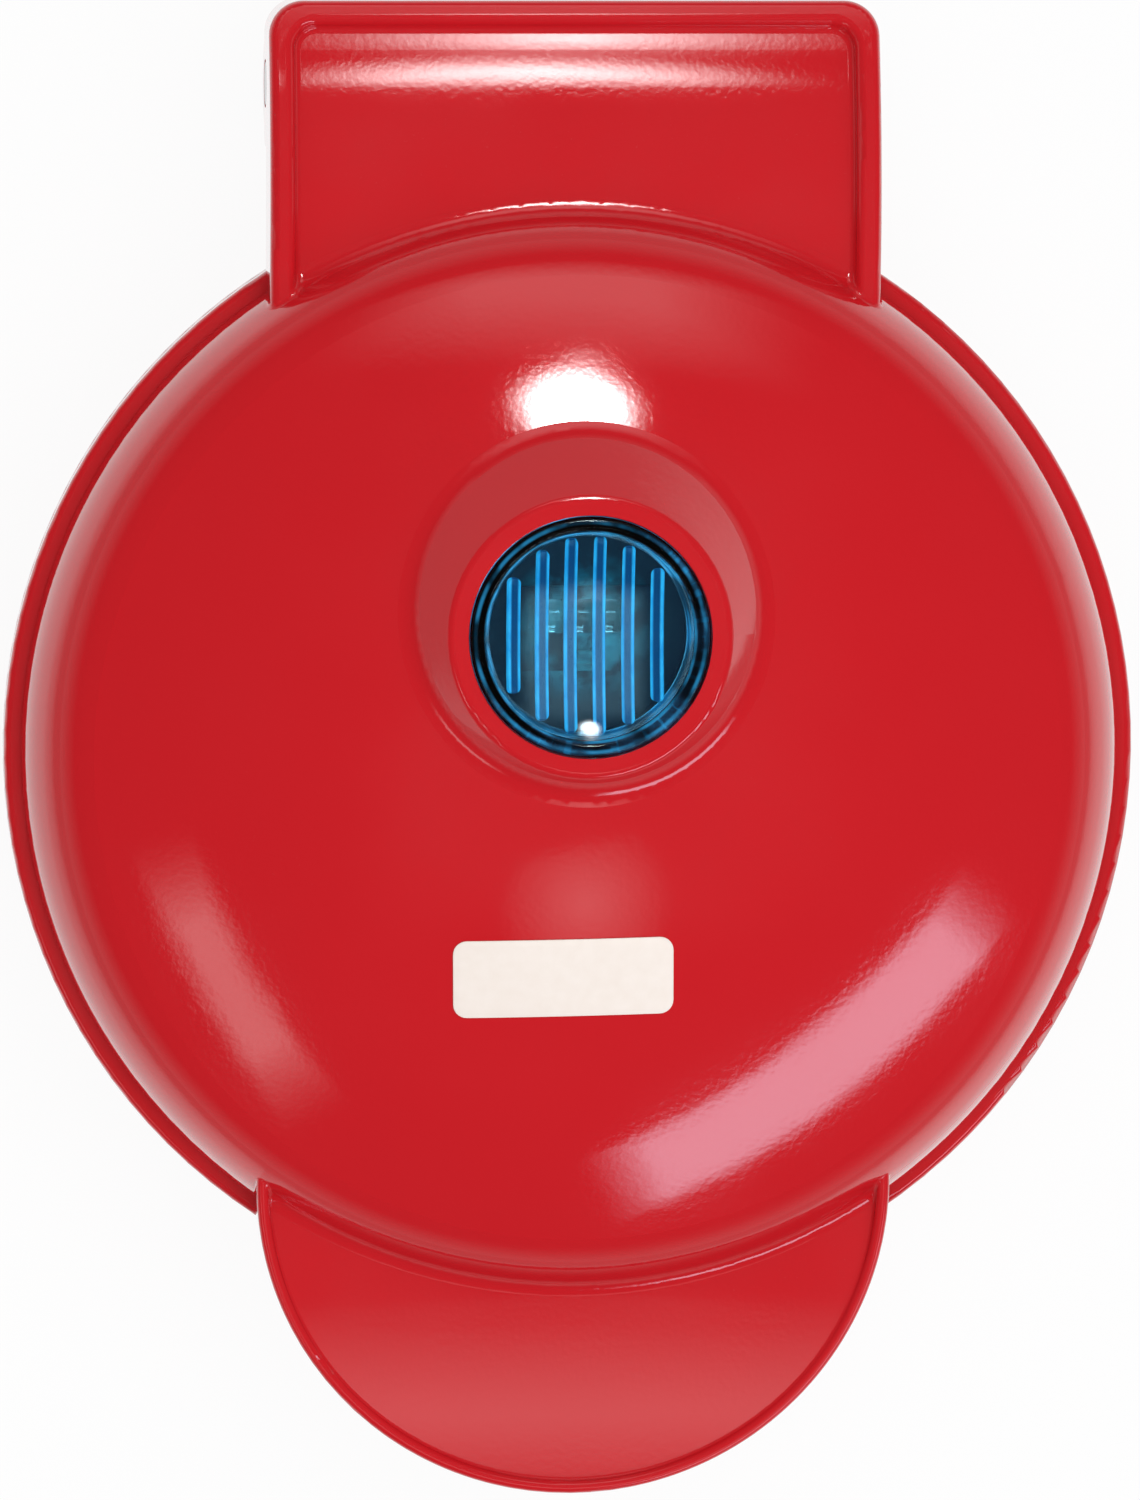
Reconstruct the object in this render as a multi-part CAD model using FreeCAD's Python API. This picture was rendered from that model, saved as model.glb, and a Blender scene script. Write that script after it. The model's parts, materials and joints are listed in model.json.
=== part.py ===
import FreeCAD, Part
import math
import os

# Overall sizes, in millimetres
RIM_RADIUS = 100.0
ARM_OUT = 32.0
PARTING_HEIGHT = 46.0
FACE_GAP = 0.6
FOOT_PROUD = 4.0
WALL = 2.4
FIT_GAP = 0.4

# Rims and the two bodies
RIM_LEDGE = 3.0
RIM_THICK = 3.5
RIM_ROUND = 1.4
DOME_RISE = 40.0
DOME_SHOULDER = 22.0
CROWN_TIP = 0.5
BOWL_CORNER = 25.0

# Hinge hood on the lid
HOOD_HALF = 53.7
HOOD_CORNER = 6.2
HOOD_RISE = 11.2
HOOD_CROWN = 95.0
HOOD_RIM = 4.4
HOOD_RECESS = 3.0
HOOD_ROUND = 1.6
HOOD_FLOOR_ROUND = 1.2
DECK_BLEND = 3.5

# Grips
GRIP_RADIUS = 56.0
GRIP_RISE = 12.8
GRIP_TILT = 4.0
GRIP_RIM = 2.2
GRIP_RECESS = 1.5
GRIP_CROWN = 260.0
GRIP_PEAK_IN = 7.0
GRIP_FLOOR_ROUND = 0.5
LOWER_GRIP_SETBACK = 3.0
LOWER_GRIP_DEPTH = 11.0
LOWER_GRIP_ROUND = 3.0

# Lamp collar and lens
LENS_Y = 23.8
LENS_RADIUS = 21.0
COLLAR_CREST = 24.4
COLLAR_FLARE = 0.8
COLLAR_PROUD = 3.6
COLLAR_ROUND = 1.6
COLLAR_BLEND = 6.0
LENS_SEAT_DEPTH = 4.0
LENS_SEAT_WIDTH = 2.4
LENS_PROUD = 0.3
LENS_BEAD = 2.8
LENS_BEAD_ROUND = 1.1
LENS_DISH = 47.0
LENS_DISH_BELOW = 1.4
LENS_SKIN = 1.6
LENS_SKIRT = 4.5
RIB_COUNT = 6
RIB_PITCH = 5.0
RIB_WIDTH = 2.0
RIB_DEPTH = 1.4

# Lamp below the lens
CUP_RADIUS = 20.0
CUP_SKIN = 1.5
CUP_BELOW_WALL = 5.4
CUP_DEPTH = 10.0
EAR_REACH = 25.0
EAR_RADIUS = 4.0
EAR_THICK = 2.0
BOARD_LENGTH = 26.0
BOARD_WIDTH = 15.0
BOARD_THICK = 1.6
LAMP_RADIUS = 3.0
LAMP_LENGTH = 15.0

# Hinge
HINGE_SETBACK = 15.0
HINGE_DROP = 2.5
OPEN_ANGLE = 105.0
STOP_GAP = 0.8
PIN_RADIUS = 2.5
PIN_HEAD_RADIUS = 4.0
PIN_HEAD_THICK = 1.4
PIN_RUNNING_GAP = 0.05
PIN_SEAT_GAP = 0.02
LUG_RADIUS = 8.0
LUG_THICK = 5.0
KNUCKLE_RADIUS = 7.4
KNUCKLE_LENGTH = 15.0
KNUCKLE_GAP = 0.5
SKIRT_BELOW_AXIS = 3.5
SKIRT_FRONT = 11.0
TOWER_INSET = 1.2
TOWER_CORNER = 6.0
TOWER_FOOT_ROUND = 2.5
LOOM_HALF = 9.0
LOOM_HEIGHT = 4.0

# Mould plates
PLATE_INSET = 14.4
PLATE_THICK = 3.0
RING_PITCH = 53.0
RING_COUNT = 6
RING_MEAN = 15.5
RING_SECTION = 8.5
MOULD_WALL = 2.4
MOULD_EDGE_ROUND = 0.7

# Heater and reflector behind each plate
HEATER_LOOP = 53.0
HEATER_TUBE = 3.25
HEATER_GAP = 0.3
HEATER_BEND = 8.0
HEATER_HALF_OPENING = 22.0
HEATER_LEG_SPAN = 11.4
BUSH_RADIUS = 5.2
BUSH_HEIGHT = 6.0
SHEET = 0.8
REFLECTOR_INSET = 1.0
REFLECTOR_FLANGE_WIDTH = 5.6
REFLECTOR_SLOPE = 8.0

# Liners
LINER_SKIN = 2.2
LEDGE_WIDTH = 5.7
LEDGE_THICK = 2.0
LINER_WALL = 2.0
LINER_UPSTAND = 4.7

# Fasteners
PLATE_SCREW_COUNT = 6
PLATE_SCREW_INSET = 3.4
PLATE_SCREW_BITE = 2.0
SCREW_RADIUS = 1.5
SCREW_HEAD_RADIUS = 2.2
SCREW_HEAD_HEIGHT = 1.8
SCREW_GAP = 0.05
LID_SCREW_INSET = 7.0
LID_SCREW_LENGTH = 11.0
COUNTERSUNK_RADIUS = 2.9
COUNTERSUNK_DEPTH = 1.6
PAD_RADIUS = 3.6
BODY_SCREW_ANGLES = (45.0, 135.0, 225.0, 315.0)
WELL_INSET = 11.0
WELL_RADIUS = 3.6
POST_RADIUS = 3.6
WELL_SKIN = 2.0
WELL_DEPTH = 20.0
BASE_SCREW_LENGTH = 14.0
GRIP_SCREW_OUT = 12.5
GRIP_SCREW_TURN = 13.4
GRIP_SCREW_LENGTH = 7.0

# Feet
FOOT_RADIUS = 8.0
FOOT_NECK = 3.1
FOOT_BARB = 3.9
FOOT_SPREAD_FRONT = 40.0
FOOT_SPREAD_REAR = 34.0
FOOT_FRONT_Y = -48.0
FOOT_REAR_INSET = 13.0

# Supply parts in the base
GLAND_HEIGHT = 17.0
GLAND_BORE = 3.6
GLAND_NECK = 6.0
GLAND_FLANGE = 8.4
GLAND_NOSE = 7.0
BLOCK_LENGTH = 34.0
BLOCK_WIDTH = 17.0
BLOCK_HEIGHT = 14.0
THERMOSTAT_RADIUS = 8.0
THERMOSTAT_HEIGHT = 9.0
FUSE_RADIUS = 2.2
FUSE_LENGTH = 26.0
FUSE_Y = 24.0

# Levels and places that follow from them
REACH = RIM_RADIUS + ARM_OUT
BODY_RADIUS = RIM_RADIUS - RIM_LEDGE
PLATE_RADIUS = RIM_RADIUS - PLATE_INSET
PLATE_SCREW_CIRCLE = PLATE_RADIUS - PLATE_SCREW_INSET
LEDGE_INNER = PLATE_RADIUS - LEDGE_WIDTH
REFLECTOR_FLANGE = PLATE_RADIUS - REFLECTOR_INSET
REFLECTOR_FOOT = REFLECTOR_FLANGE - REFLECTOR_FLANGE_WIDTH
REFLECTOR_CROWN = REFLECTOR_FOOT - REFLECTOR_SLOPE
LID_SCREW_CIRCLE = BODY_RADIUS - LID_SCREW_INSET
WELL_CIRCLE = BODY_RADIUS - WELL_INSET
LID_FACE = PARTING_HEIGHT + FACE_GAP / 2
BASE_FACE = PARTING_HEIGHT - FACE_GAP / 2
LID_RIM_TOP = LID_FACE + RIM_THICK
BASE_RIM_BOTTOM = BASE_FACE - RIM_THICK
DOME_TOP = LID_RIM_TOP + DOME_RISE
SHOULDER_AT = BODY_RADIUS - DOME_SHOULDER
DOME_REACH = math.hypot(SHOULDER_AT, DOME_RISE)
DOME_CROWN = (DOME_REACH ** 2 - DOME_SHOULDER ** 2) / (2 * (DOME_RISE - DOME_SHOULDER))
DOME_LEAN = math.atan2(SHOULDER_AT, DOME_CROWN - DOME_RISE)
BOWL_FLAT = BODY_RADIUS - BOWL_CORNER
HOOD_TOP = LID_RIM_TOP + HOOD_RISE
HOOD_PEAK_Y = BODY_RADIUS - 2.0
HOOD_FRONT = 0.62 * BODY_RADIUS
GRIP_TOP = LID_RIM_TOP + GRIP_RISE
GRIP_LEAN = math.radians(GRIP_TILT)
GRIP_BEAD = GRIP_RIM / 2
GRIP_BEAD_OUT = (GRIP_RADIUS - GRIP_BEAD) * math.cos(GRIP_LEAN)
GRIP_BEAD_LEAN = (GRIP_TOP - GRIP_BEAD - LID_FACE) * math.sin(GRIP_LEAN)
GRIP_Y = GRIP_BEAD_OUT + GRIP_BEAD_LEAN + GRIP_BEAD - REACH
GRIP_PEAK_Y = GRIP_PEAK_IN - BODY_RADIUS
GRIP_PEAK_Z = LID_FACE + (GRIP_TOP - LID_FACE) / math.cos(GRIP_LEAN)
GRIP_PEAK_Z += (GRIP_PEAK_Y - GRIP_Y) * math.tan(GRIP_LEAN)
COLLAR_TOP = DOME_TOP + COLLAR_PROUD
LENS_SEAT = COLLAR_TOP - LENS_SEAT_DEPTH
HINGE_Y = REACH - HINGE_SETBACK
HINGE_Z = PARTING_HEIGHT - HINGE_DROP
SKIRT_BOTTOM = HINGE_Z - SKIRT_BELOW_AXIS
LUG_INNER = HOOD_HALF - LUG_THICK
KNUCKLE_OUTER = LUG_INNER - KNUCKLE_GAP
TOWER_HALF = LUG_INNER - TOWER_INSET
PLATE_OPENING = PLATE_RADIUS + FIT_GAP
LINER_OUTER = BODY_RADIUS - WALL - FIT_GAP
PLATE_BACK = LID_FACE + PLATE_THICK
LEDGE_TOP = PLATE_BACK + LEDGE_THICK
FLANGE_TOP = LEDGE_TOP + SHEET
MOULD_BACK = LID_FACE + RING_SECTION + MOULD_WALL
HEATER_LEVEL = MOULD_BACK + HEATER_GAP + HEATER_TUBE
HEATER_LEG = HEATER_LEG_SPAN - WALL
REFLECTOR_LEVEL = HEATER_LEVEL + HEATER_BEND + HEATER_GAP
BOWL_FLOOR = FOOT_PROUD + WALL
CUP_TOP = DOME_TOP - WALL - CUP_BELOW_WALL
CUP_FLOOR = CUP_TOP - CUP_DEPTH
LOWER_REFLECTOR_LEVEL = 2 * PARTING_HEIGHT - REFLECTOR_LEVEL - SHEET


def swung(y, z, degrees):
    """Where a point of the lid stands, seen from the side, when the lid is opened."""
    turn = math.radians(degrees)
    across = y - HINGE_Y
    above = z - HINGE_Z
    new_y = HINGE_Y + across * math.cos(turn) + above * math.sin(turn)
    new_z = HINGE_Z - across * math.sin(turn) + above * math.cos(turn)
    return new_y, new_z


# The tower's rear face is the stop for the hood's lower edge
TOWER_REAR = swung(REACH, SKIRT_BOTTOM, OPEN_ANGLE)[0] - STOP_GAP


def vec(x, y, z):
    return FreeCAD.Vector(x, y, z)


UP = vec(0, 0, 1)


def along(edge):
    span = edge.LastParameter - edge.FirstParameter
    return [edge.valueAt(edge.FirstParameter + span * part) for part in (0.1, 0.5, 0.9)]


def rounded(solid, radius, wanted):
    """Fillet each edge whose three sample points all pass the test."""
    edges = [edge for edge in solid.Edges if all(wanted(point) for point in along(edge))]
    return solid.makeFillet(radius, edges)


def near(value, target):
    return abs(value - target) < 1e-3


def polar(radius, degrees):
    turn = math.radians(degrees)
    return radius * math.cos(turn), radius * math.sin(turn)


def joined(edges):
    return Part.Wire(edges)


def face_of(points):
    return Part.Face(Part.makePolygon(points + points[:1]))


def spun(profile, x=0.0, y=0.0):
    """Turn a closed (radius, height) profile about the upright axis at x, y."""
    face = face_of([vec(x + radius, y, height) for radius, height in profile])
    return face.revolve(vec(x, y, 0), UP, 360)


def column(radius, bottom, top, x=0.0, y=0.0):
    return Part.makeCylinder(radius, top - bottom, vec(x, y, bottom))


def rod(radius, start, end, y, z):
    low = min(start, end)
    return Part.makeCylinder(radius, abs(end - start), vec(low, y, z), vec(1, 0, 0))


def slab(x_half, y_low, y_high, z_low, z_high):
    return Part.makeBox(2 * x_half, y_high - y_low, z_high - z_low, vec(-x_half, y_low, z_low))


def mirrored_pair(solid):
    return [solid, solid.mirror(vec(0, 0, 0), vec(1, 0, 0))]


def flipped(solid):
    """The same piece on the other side of the parting plane."""
    return solid.mirror(vec(0, 0, PARTING_HEIGHT), UP)


def round_about(centre_r, centre_z, radius, degrees):
    """The point at an angle from upright on a circle in the XZ plane."""
    turn = math.radians(degrees)
    return vec(centre_r + radius * math.sin(turn), 0, centre_z + radius * math.cos(turn))


def arc_about(centre_r, centre_z, radius, start, end):
    angles = (start, (start + end) / 2, end)
    return Part.Arc(*[round_about(centre_r, centre_z, radius, angle) for angle in angles]).toShape()


def splined(arc):
    """The same arc held as a spline, so that the face turned from it joins others cleanly."""
    return arc.Curve.toBSpline(arc.FirstParameter, arc.LastParameter).toShape()


def turned_body(edges):
    solid = Part.Face(joined(edges)).revolve(vec(0, 0, 0), UP, 360)
    solid.rotate(vec(0, 0, 0), UP, 20)
    return solid


def dome(inset, bottom):
    """The lid's dome, a wide crown and a tight shoulder, drawn in by an inset.

    The very tip of the crown is flat; outside, the lamp collar covers it.
    """
    lean = math.degrees(DOME_LEAN)
    shoulder = arc_about(SHOULDER_AT, LID_RIM_TOP, DOME_SHOULDER - inset, 90, lean)
    crown = arc_about(0, DOME_TOP - DOME_CROWN, DOME_CROWN - inset, lean, CROWN_TIP)
    tip = round_about(0, DOME_TOP - DOME_CROWN, DOME_CROWN - inset, CROWN_TIP)
    radius = BODY_RADIUS - inset
    edges = [
        Part.makeLine(vec(0, 0, bottom), vec(radius, 0, bottom)),
        Part.makeLine(vec(radius, 0, bottom), vec(radius, 0, LID_RIM_TOP)),
        shoulder,
        splined(crown),
        Part.makeLine(tip, vec(0, 0, tip.z)),
        Part.makeLine(vec(0, 0, tip.z), vec(0, 0, bottom)),
    ]
    return turned_body(edges)


def on_dome(point):
    plan = math.hypot(point.x, point.y)
    from_shoulder = math.hypot(plan - SHOULDER_AT, point.z - LID_RIM_TOP) - DOME_SHOULDER
    from_crown = math.hypot(plan, point.z - DOME_TOP + DOME_CROWN) - DOME_CROWN
    nearest = from_shoulder if plan > DOME_CROWN * math.sin(DOME_LEAN) else from_crown
    return point.z > LID_RIM_TOP + 0.3 and abs(nearest) < 0.01


def bowl(inset, top):
    """The base's bowl, a flat floor, a round corner and an upright wall, drawn in by an inset."""
    floor = FOOT_PROUD + inset
    radius = BODY_RADIUS - inset
    level = FOOT_PROUD + BOWL_CORNER
    edges = [
        Part.makeLine(vec(0, 0, floor), vec(BOWL_FLAT, 0, floor)),
        splined(arc_about(BOWL_FLAT, level, BOWL_CORNER - inset, 180, 90)),
        Part.makeLine(vec(radius, 0, level), vec(radius, 0, top)),
        Part.makeLine(vec(radius, 0, top), vec(0, 0, top)),
        Part.makeLine(vec(0, 0, top), vec(0, 0, floor)),
    ]
    return turned_body(edges)


def crowned(half, y_start, y_end, bottom, peak_y, peak_z, radius):
    """A block across X whose top is a shallow barrel with its peak at peak_y."""

    def top(y):
        return vec(-half, y, peak_z - radius + math.sqrt(radius ** 2 - (y - peak_y) ** 2))

    edges = [
        Part.makeLine(vec(-half, y_start, bottom), top(y_start)),
        Part.Arc(top(y_start), top((y_start + y_end) / 2), top(y_end)).toShape(),
        Part.makeLine(top(y_end), vec(-half, y_end, bottom)),
        Part.makeLine(vec(-half, y_end, bottom), vec(-half, y_start, bottom)),
    ]
    return Part.Face(joined(edges)).extrude(vec(2 * half, 0, 0))


def on_crown(point, peak_y, peak_z, radius):
    return abs(math.hypot(point.y - peak_y, point.z - peak_z + radius) - radius) < 0.02


def hood_block(inset, drop, bottom):
    """The hood's outline drawn in by an inset, with its crowned top lowered by a drop."""
    block = crowned(
        HOOD_HALF - inset, HOOD_FRONT, REACH - inset, bottom, HOOD_PEAK_Y, HOOD_TOP - drop, HOOD_CROWN
    )
    return rear_corners(block, REACH - inset, max(HOOD_CORNER - inset, 1.0))


def rear_corners(block, rear, radius):
    half = block.BoundBox.XMax
    return rounded(block, radius, lambda p: near(p.y, rear) and near(abs(p.x), half))


def grip_disc(radius, bottom, top):
    disc = column(radius, bottom, top, 0, GRIP_Y)
    disc.rotate(vec(0, GRIP_Y, 0), UP, 90)
    return disc


def tilted(solid):
    """Lean a piece of the upper grip down toward its tip."""
    solid.rotate(vec(0, GRIP_Y, LID_FACE), vec(1, 0, 0), GRIP_TILT)
    return solid


def above_face(solid):
    return solid.common(slab(REACH, -2 * REACH, 2 * REACH, LID_FACE, COLLAR_TOP))


def grip_block(inset, drop):
    """The upper grip's outline drawn in by an inset, with its crowned top lowered by a drop."""
    outline = tilted(grip_disc(GRIP_RADIUS - inset, LID_FACE - 10, GRIP_TOP + 10))
    inner, outer = GRIP_Y + GRIP_RADIUS, GRIP_Y - GRIP_RADIUS
    peak = GRIP_PEAK_Z - drop
    return outline.common(crowned(GRIP_RADIUS, outer, inner, LID_FACE - 20, GRIP_PEAK_Y, peak, GRIP_CROWN))


def on_grip_floor(point):
    return on_crown(point, GRIP_PEAK_Y, GRIP_PEAK_Z - GRIP_RECESS, GRIP_CROWN)


def rim_ring(bottom, top):
    ring = column(RIM_RADIUS, bottom, top)
    ring.rotate(vec(0, 0, 0), UP, 20)
    return ring


def hood_frame():
    """The raised rim round the hood's sunk panel."""
    inner = slab(HOOD_HALF - HOOD_RIM, 0, REACH - HOOD_RIM, LID_FACE - 10, HOOD_TOP + 10)
    inner = rear_corners(inner, REACH - HOOD_RIM, HOOD_CORNER - HOOD_RIM / 2)
    frame = hood_block(0, 0, LID_FACE).cut(inner)
    return rounded(
        frame,
        HOOD_ROUND,
        lambda p: p.y > HOOD_FRONT + 1e-3 and on_crown(p, HOOD_PEAK_Y, HOOD_TOP, HOOD_CROWN),
    )


def grip_frame():
    """The grip's raised edge, a ring with a full round top."""
    inner = GRIP_RADIUS - GRIP_RIM
    shoulder = GRIP_TOP - GRIP_RIM / 2
    low = LID_FACE - 10
    corners = [(inner, shoulder), (inner, low), (GRIP_RADIUS, low), (GRIP_RADIUS, shoulder)]
    points = [vec(0, GRIP_Y + radius, height) for radius, height in corners]
    crest = vec(0, GRIP_Y + inner + GRIP_RIM / 2, GRIP_TOP)
    edges = [Part.makeLine(points[index], points[index + 1]) for index in range(3)]
    edges.append(Part.Arc(points[3], crest, points[0]).toShape())
    ring = Part.Face(joined(edges)).revolve(vec(0, GRIP_Y, 0), UP, 360)
    return above_face(tilted(ring))


def lamp_collar():
    low = DOME_TOP - DOME_RISE / 2
    foot = COLLAR_CREST + COLLAR_FLARE * (COLLAR_TOP - low)
    collar = spun([(0, low), (foot, low), (COLLAR_CREST, COLLAR_TOP), (0, COLLAR_TOP)], 0, LENS_Y)
    return rounded(collar, COLLAR_ROUND, lambda p: near(p.z, COLLAR_TOP))


def hood_skirt():
    """The hood's walls below the parting plane, which hide the knuckles from behind."""
    front = HINGE_Y - SKIRT_FRONT
    outer = slab(HOOD_HALF, front, REACH, SKIRT_BOTTOM, LID_RIM_TOP)
    outer = rear_corners(outer, REACH, HOOD_CORNER)
    inner = slab(HOOD_HALF - WALL, front - 10, REACH - WALL, SKIRT_BOTTOM - 10, LID_RIM_TOP + 10)
    inner = rear_corners(inner, REACH - WALL, HOOD_CORNER - WALL)
    skirt = outer.cut(inner)
    return rounded(skirt, 3.0, lambda p: near(p.y, front) and near(p.z, SKIRT_BOTTOM))


def screw_places(radius):
    return [polar(radius, angle) for angle in BODY_SCREW_ANGLES]


def grip_screw_places():
    reach = RIM_RADIUS + GRIP_SCREW_OUT
    return [polar(reach, 270 + turn) for turn in (-GRIP_SCREW_TURN, GRIP_SCREW_TURN)]


def ear_places():
    return [(-EAR_REACH, LENS_Y), (EAR_REACH, LENS_Y)]


def lid_shell():
    outer = dome(0, LID_FACE)
    rim = rounded(rim_ring(LID_FACE, LID_RIM_TOP), RIM_ROUND, lambda p: near(p.z, LID_RIM_TOP))
    hood_deck = hood_block(HOOD_RIM / 2, HOOD_RECESS, LID_FACE)
    grip_deck = above_face(grip_block(GRIP_RIM / 2, GRIP_RECESS))
    body = outer.fuse(rim).fuse(hood_deck).fuse(grip_deck)

    # Both sunk decks run up into the dome with a soft hollow corner
    def hood_meets(point):
        crown = on_crown(point, HOOD_PEAK_Y, HOOD_TOP - HOOD_RECESS, HOOD_CROWN)
        return point.y > 0 and crown and on_dome(point)

    def grip_meets(point):
        return point.y < 0 and on_grip_floor(point) and on_dome(point)

    body = rounded(body, DECK_BLEND, hood_meets)
    body = rounded(body, DECK_BLEND, grip_meets)
    body = body.fuse(hood_frame()).fuse(grip_frame()).fuse(lamp_collar())

    def collar_meets(point):
        return math.hypot(point.x, point.y - LENS_Y) < 2 * COLLAR_CREST and on_dome(point)

    def hood_floor(point):
        crown = on_crown(point, HOOD_PEAK_Y, HOOD_TOP - HOOD_RECESS, HOOD_CROWN)
        at_rim = near(abs(point.x), HOOD_HALF - HOOD_RIM) or point.y > REACH - HOOD_RIM - HOOD_CORNER
        return point.y > HOOD_FRONT and crown and at_rim

    def grip_floor(point):
        reach = math.hypot(point.x, (point.y - GRIP_Y) / math.cos(GRIP_LEAN))
        return on_grip_floor(point) and abs(reach - GRIP_RADIUS + GRIP_RIM) < 0.1 * GRIP_RADIUS

    body = rounded(body, COLLAR_BLEND, collar_meets)
    body = rounded(body, HOOD_FLOOR_ROUND, hood_floor)
    body = rounded(body, GRIP_FLOOR_ROUND, grip_floor)

    # Hollow it, keeping the dome's wall between the heated space and the hood and grip
    body = body.cut(dome(WALL, LID_FACE - 1))
    kept = dome(0, LID_FACE - 20).fuse(rim_ring(LID_FACE - 20, LID_RIM_TOP))
    body = body.cut(grip_block(WALL, GRIP_RECESS + WALL).cut(kept))
    body = body.cut(hood_block(WALL, HOOD_RECESS + WALL, LID_FACE - 1).cut(kept))
    body = body.fuse(hood_skirt())

    # Lugs for the pins, posts for the liner screws and for the lamp cup
    for lug in mirrored_pair(rod(LUG_RADIUS, LUG_INNER, HOOD_HALF, HINGE_Y, HINGE_Z)):
        body = body.fuse(lug)
    posts = [column(PAD_RADIUS, LEDGE_TOP, DOME_TOP, x, y) for x, y in screw_places(LID_SCREW_CIRCLE)]
    posts += [column(EAR_RADIUS, CUP_TOP - EAR_THICK, DOME_TOP, x, y) for x, y in ear_places()]
    space = dome(WALL / 2, LID_FACE)
    body = body.fuse([post.common(space) for post in posts])
    posts = [column(PAD_RADIUS, LID_FACE + LINER_SKIN, GRIP_TOP, x, y) for x, y in grip_screw_places()]
    space = grip_block(WALL / 2, GRIP_RECESS + WALL / 2)
    body = body.fuse([post.common(space) for post in posts])
    body = body.cut(pin_holes() + lens_hole() + [loom_slot()] + ear_holes())
    body = body.cut(lid_screw_holes() + grip_screw_holes())
    return body.removeSplitter()


def pin_holes():
    bore = rod(PIN_RADIUS + PIN_SEAT_GAP, LUG_INNER - 1, HOOD_HALF + 1, HINGE_Y, HINGE_Z)
    sink = rod(PIN_HEAD_RADIUS + 0.3, HOOD_HALF - PIN_HEAD_THICK, HOOD_HALF + 1, HINGE_Y, HINGE_Z)
    return mirrored_pair(bore) + mirrored_pair(sink)


def lens_hole():
    seat = column(LENS_RADIUS + FIT_GAP / 2, LENS_SEAT, COLLAR_TOP + 1, 0, LENS_Y)
    through = column(LENS_RADIUS - LENS_SEAT_WIDTH, DOME_TOP - 20, COLLAR_TOP, 0, LENS_Y)
    return [seat, through]


def loom_slot():
    low = LID_RIM_TOP + 0.4
    return slab(LOOM_HALF, BODY_RADIUS - 8, BODY_RADIUS + 4, low, low + LOOM_HEIGHT)


def lid_screw_holes():
    top = LID_FACE + LID_SCREW_LENGTH + 0.5
    return [column(SCREW_RADIUS + SCREW_GAP, LID_FACE, top, x, y) for x, y in screw_places(LID_SCREW_CIRCLE)]


def grip_screw_holes():
    top = LID_FACE + GRIP_SCREW_LENGTH + 0.5
    return [column(SCREW_RADIUS + SCREW_GAP, LID_FACE, top, x, y) for x, y in grip_screw_places()]


def ear_holes():
    bottom = CUP_TOP - EAR_THICK
    return [column(SCREW_RADIUS + SCREW_GAP, bottom - 1, bottom + 5, x, y) for x, y in ear_places()]


def liner_ring():
    """The upper liner's ring: face, plate ledge and the upstand inside the shell's wall."""
    inner = PLATE_OPENING
    profile = [
        (inner, LID_FACE),
        (LINER_OUTER, LID_FACE),
        (LINER_OUTER, LID_FACE + LINER_UPSTAND),
        (LINER_OUTER - LINER_SKIN, LID_FACE + LINER_UPSTAND),
        (LINER_OUTER - LINER_SKIN, LID_FACE + LINER_SKIN),
        (inner + LINER_WALL, LID_FACE + LINER_SKIN),
        (inner + LINER_WALL, LEDGE_TOP),
        (LEDGE_INNER, LEDGE_TOP),
        (LEDGE_INNER, PLATE_BACK),
        (inner, PLATE_BACK),
    ]
    ring = spun(profile)
    return ring.cut(plate_screw_holes(LEDGE_TOP + 1))


def grip_cover(radius):
    """The plate that closes a grip's hollow, beside the rim."""
    cover = grip_disc(radius, LID_FACE, LID_FACE + LINER_SKIN)
    cover = cover.cut(column(RIM_RADIUS + FIT_GAP, LID_FACE - 1, LID_FACE + LINER_SKIN + 1))
    return screwed(cover, grip_screw_places())


def screwed(plate, places):
    """Countersunk screw holes in a plate whose face is the lid's face."""
    for x, y in places:
        plate = plate.cut(column(SCREW_RADIUS + 0.2, LID_FACE - 1, LEDGE_TOP + 1, x, y))
        plate = plate.cut(countersink(0.1, x, y))
    return plate


def plate_screw_places():
    step = 360.0 / PLATE_SCREW_COUNT
    return [polar(PLATE_SCREW_CIRCLE, step * (index + 0.5)) for index in range(PLATE_SCREW_COUNT)]


def plate_screw_holes(top):
    bottom = PLATE_BACK - PLATE_SCREW_BITE
    return [column(SCREW_RADIUS + SCREW_GAP, bottom, top, x, y) for x, y in plate_screw_places()]


def lid_liner():
    places = screw_places(LID_SCREW_CIRCLE)
    pads = [column(PAD_RADIUS, LID_FACE, LEDGE_TOP, x, y) for x, y in places]
    return screwed(liner_ring().fuse(pads), places).removeSplitter()


def countersink(gap, x, y):
    """The cone under a countersunk head, its wide end at the liner's face."""
    profile = [
        (0, LID_FACE),
        (COUNTERSUNK_RADIUS + gap, LID_FACE),
        (SCREW_RADIUS + gap, LID_FACE + COUNTERSUNK_DEPTH),
        (0, LID_FACE + COUNTERSUNK_DEPTH),
    ]
    return spun(profile, x, y)


def countersunk_screws(length, places):
    screws = []
    for x, y in places:
        shank = column(SCREW_RADIUS, LID_FACE, LID_FACE + length, x, y)
        screws.append(countersink(0.0, x, y).fuse(shank).removeSplitter())
    return screws


def ring_centres():
    step = 360.0 / RING_COUNT
    return [(0.0, 0.0)] + [polar(RING_PITCH, step * index) for index in range(RING_COUNT)]


def torus(section, x, y):
    return Part.makeTorus(RING_MEAN, section, vec(x, y, LID_FACE))


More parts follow.
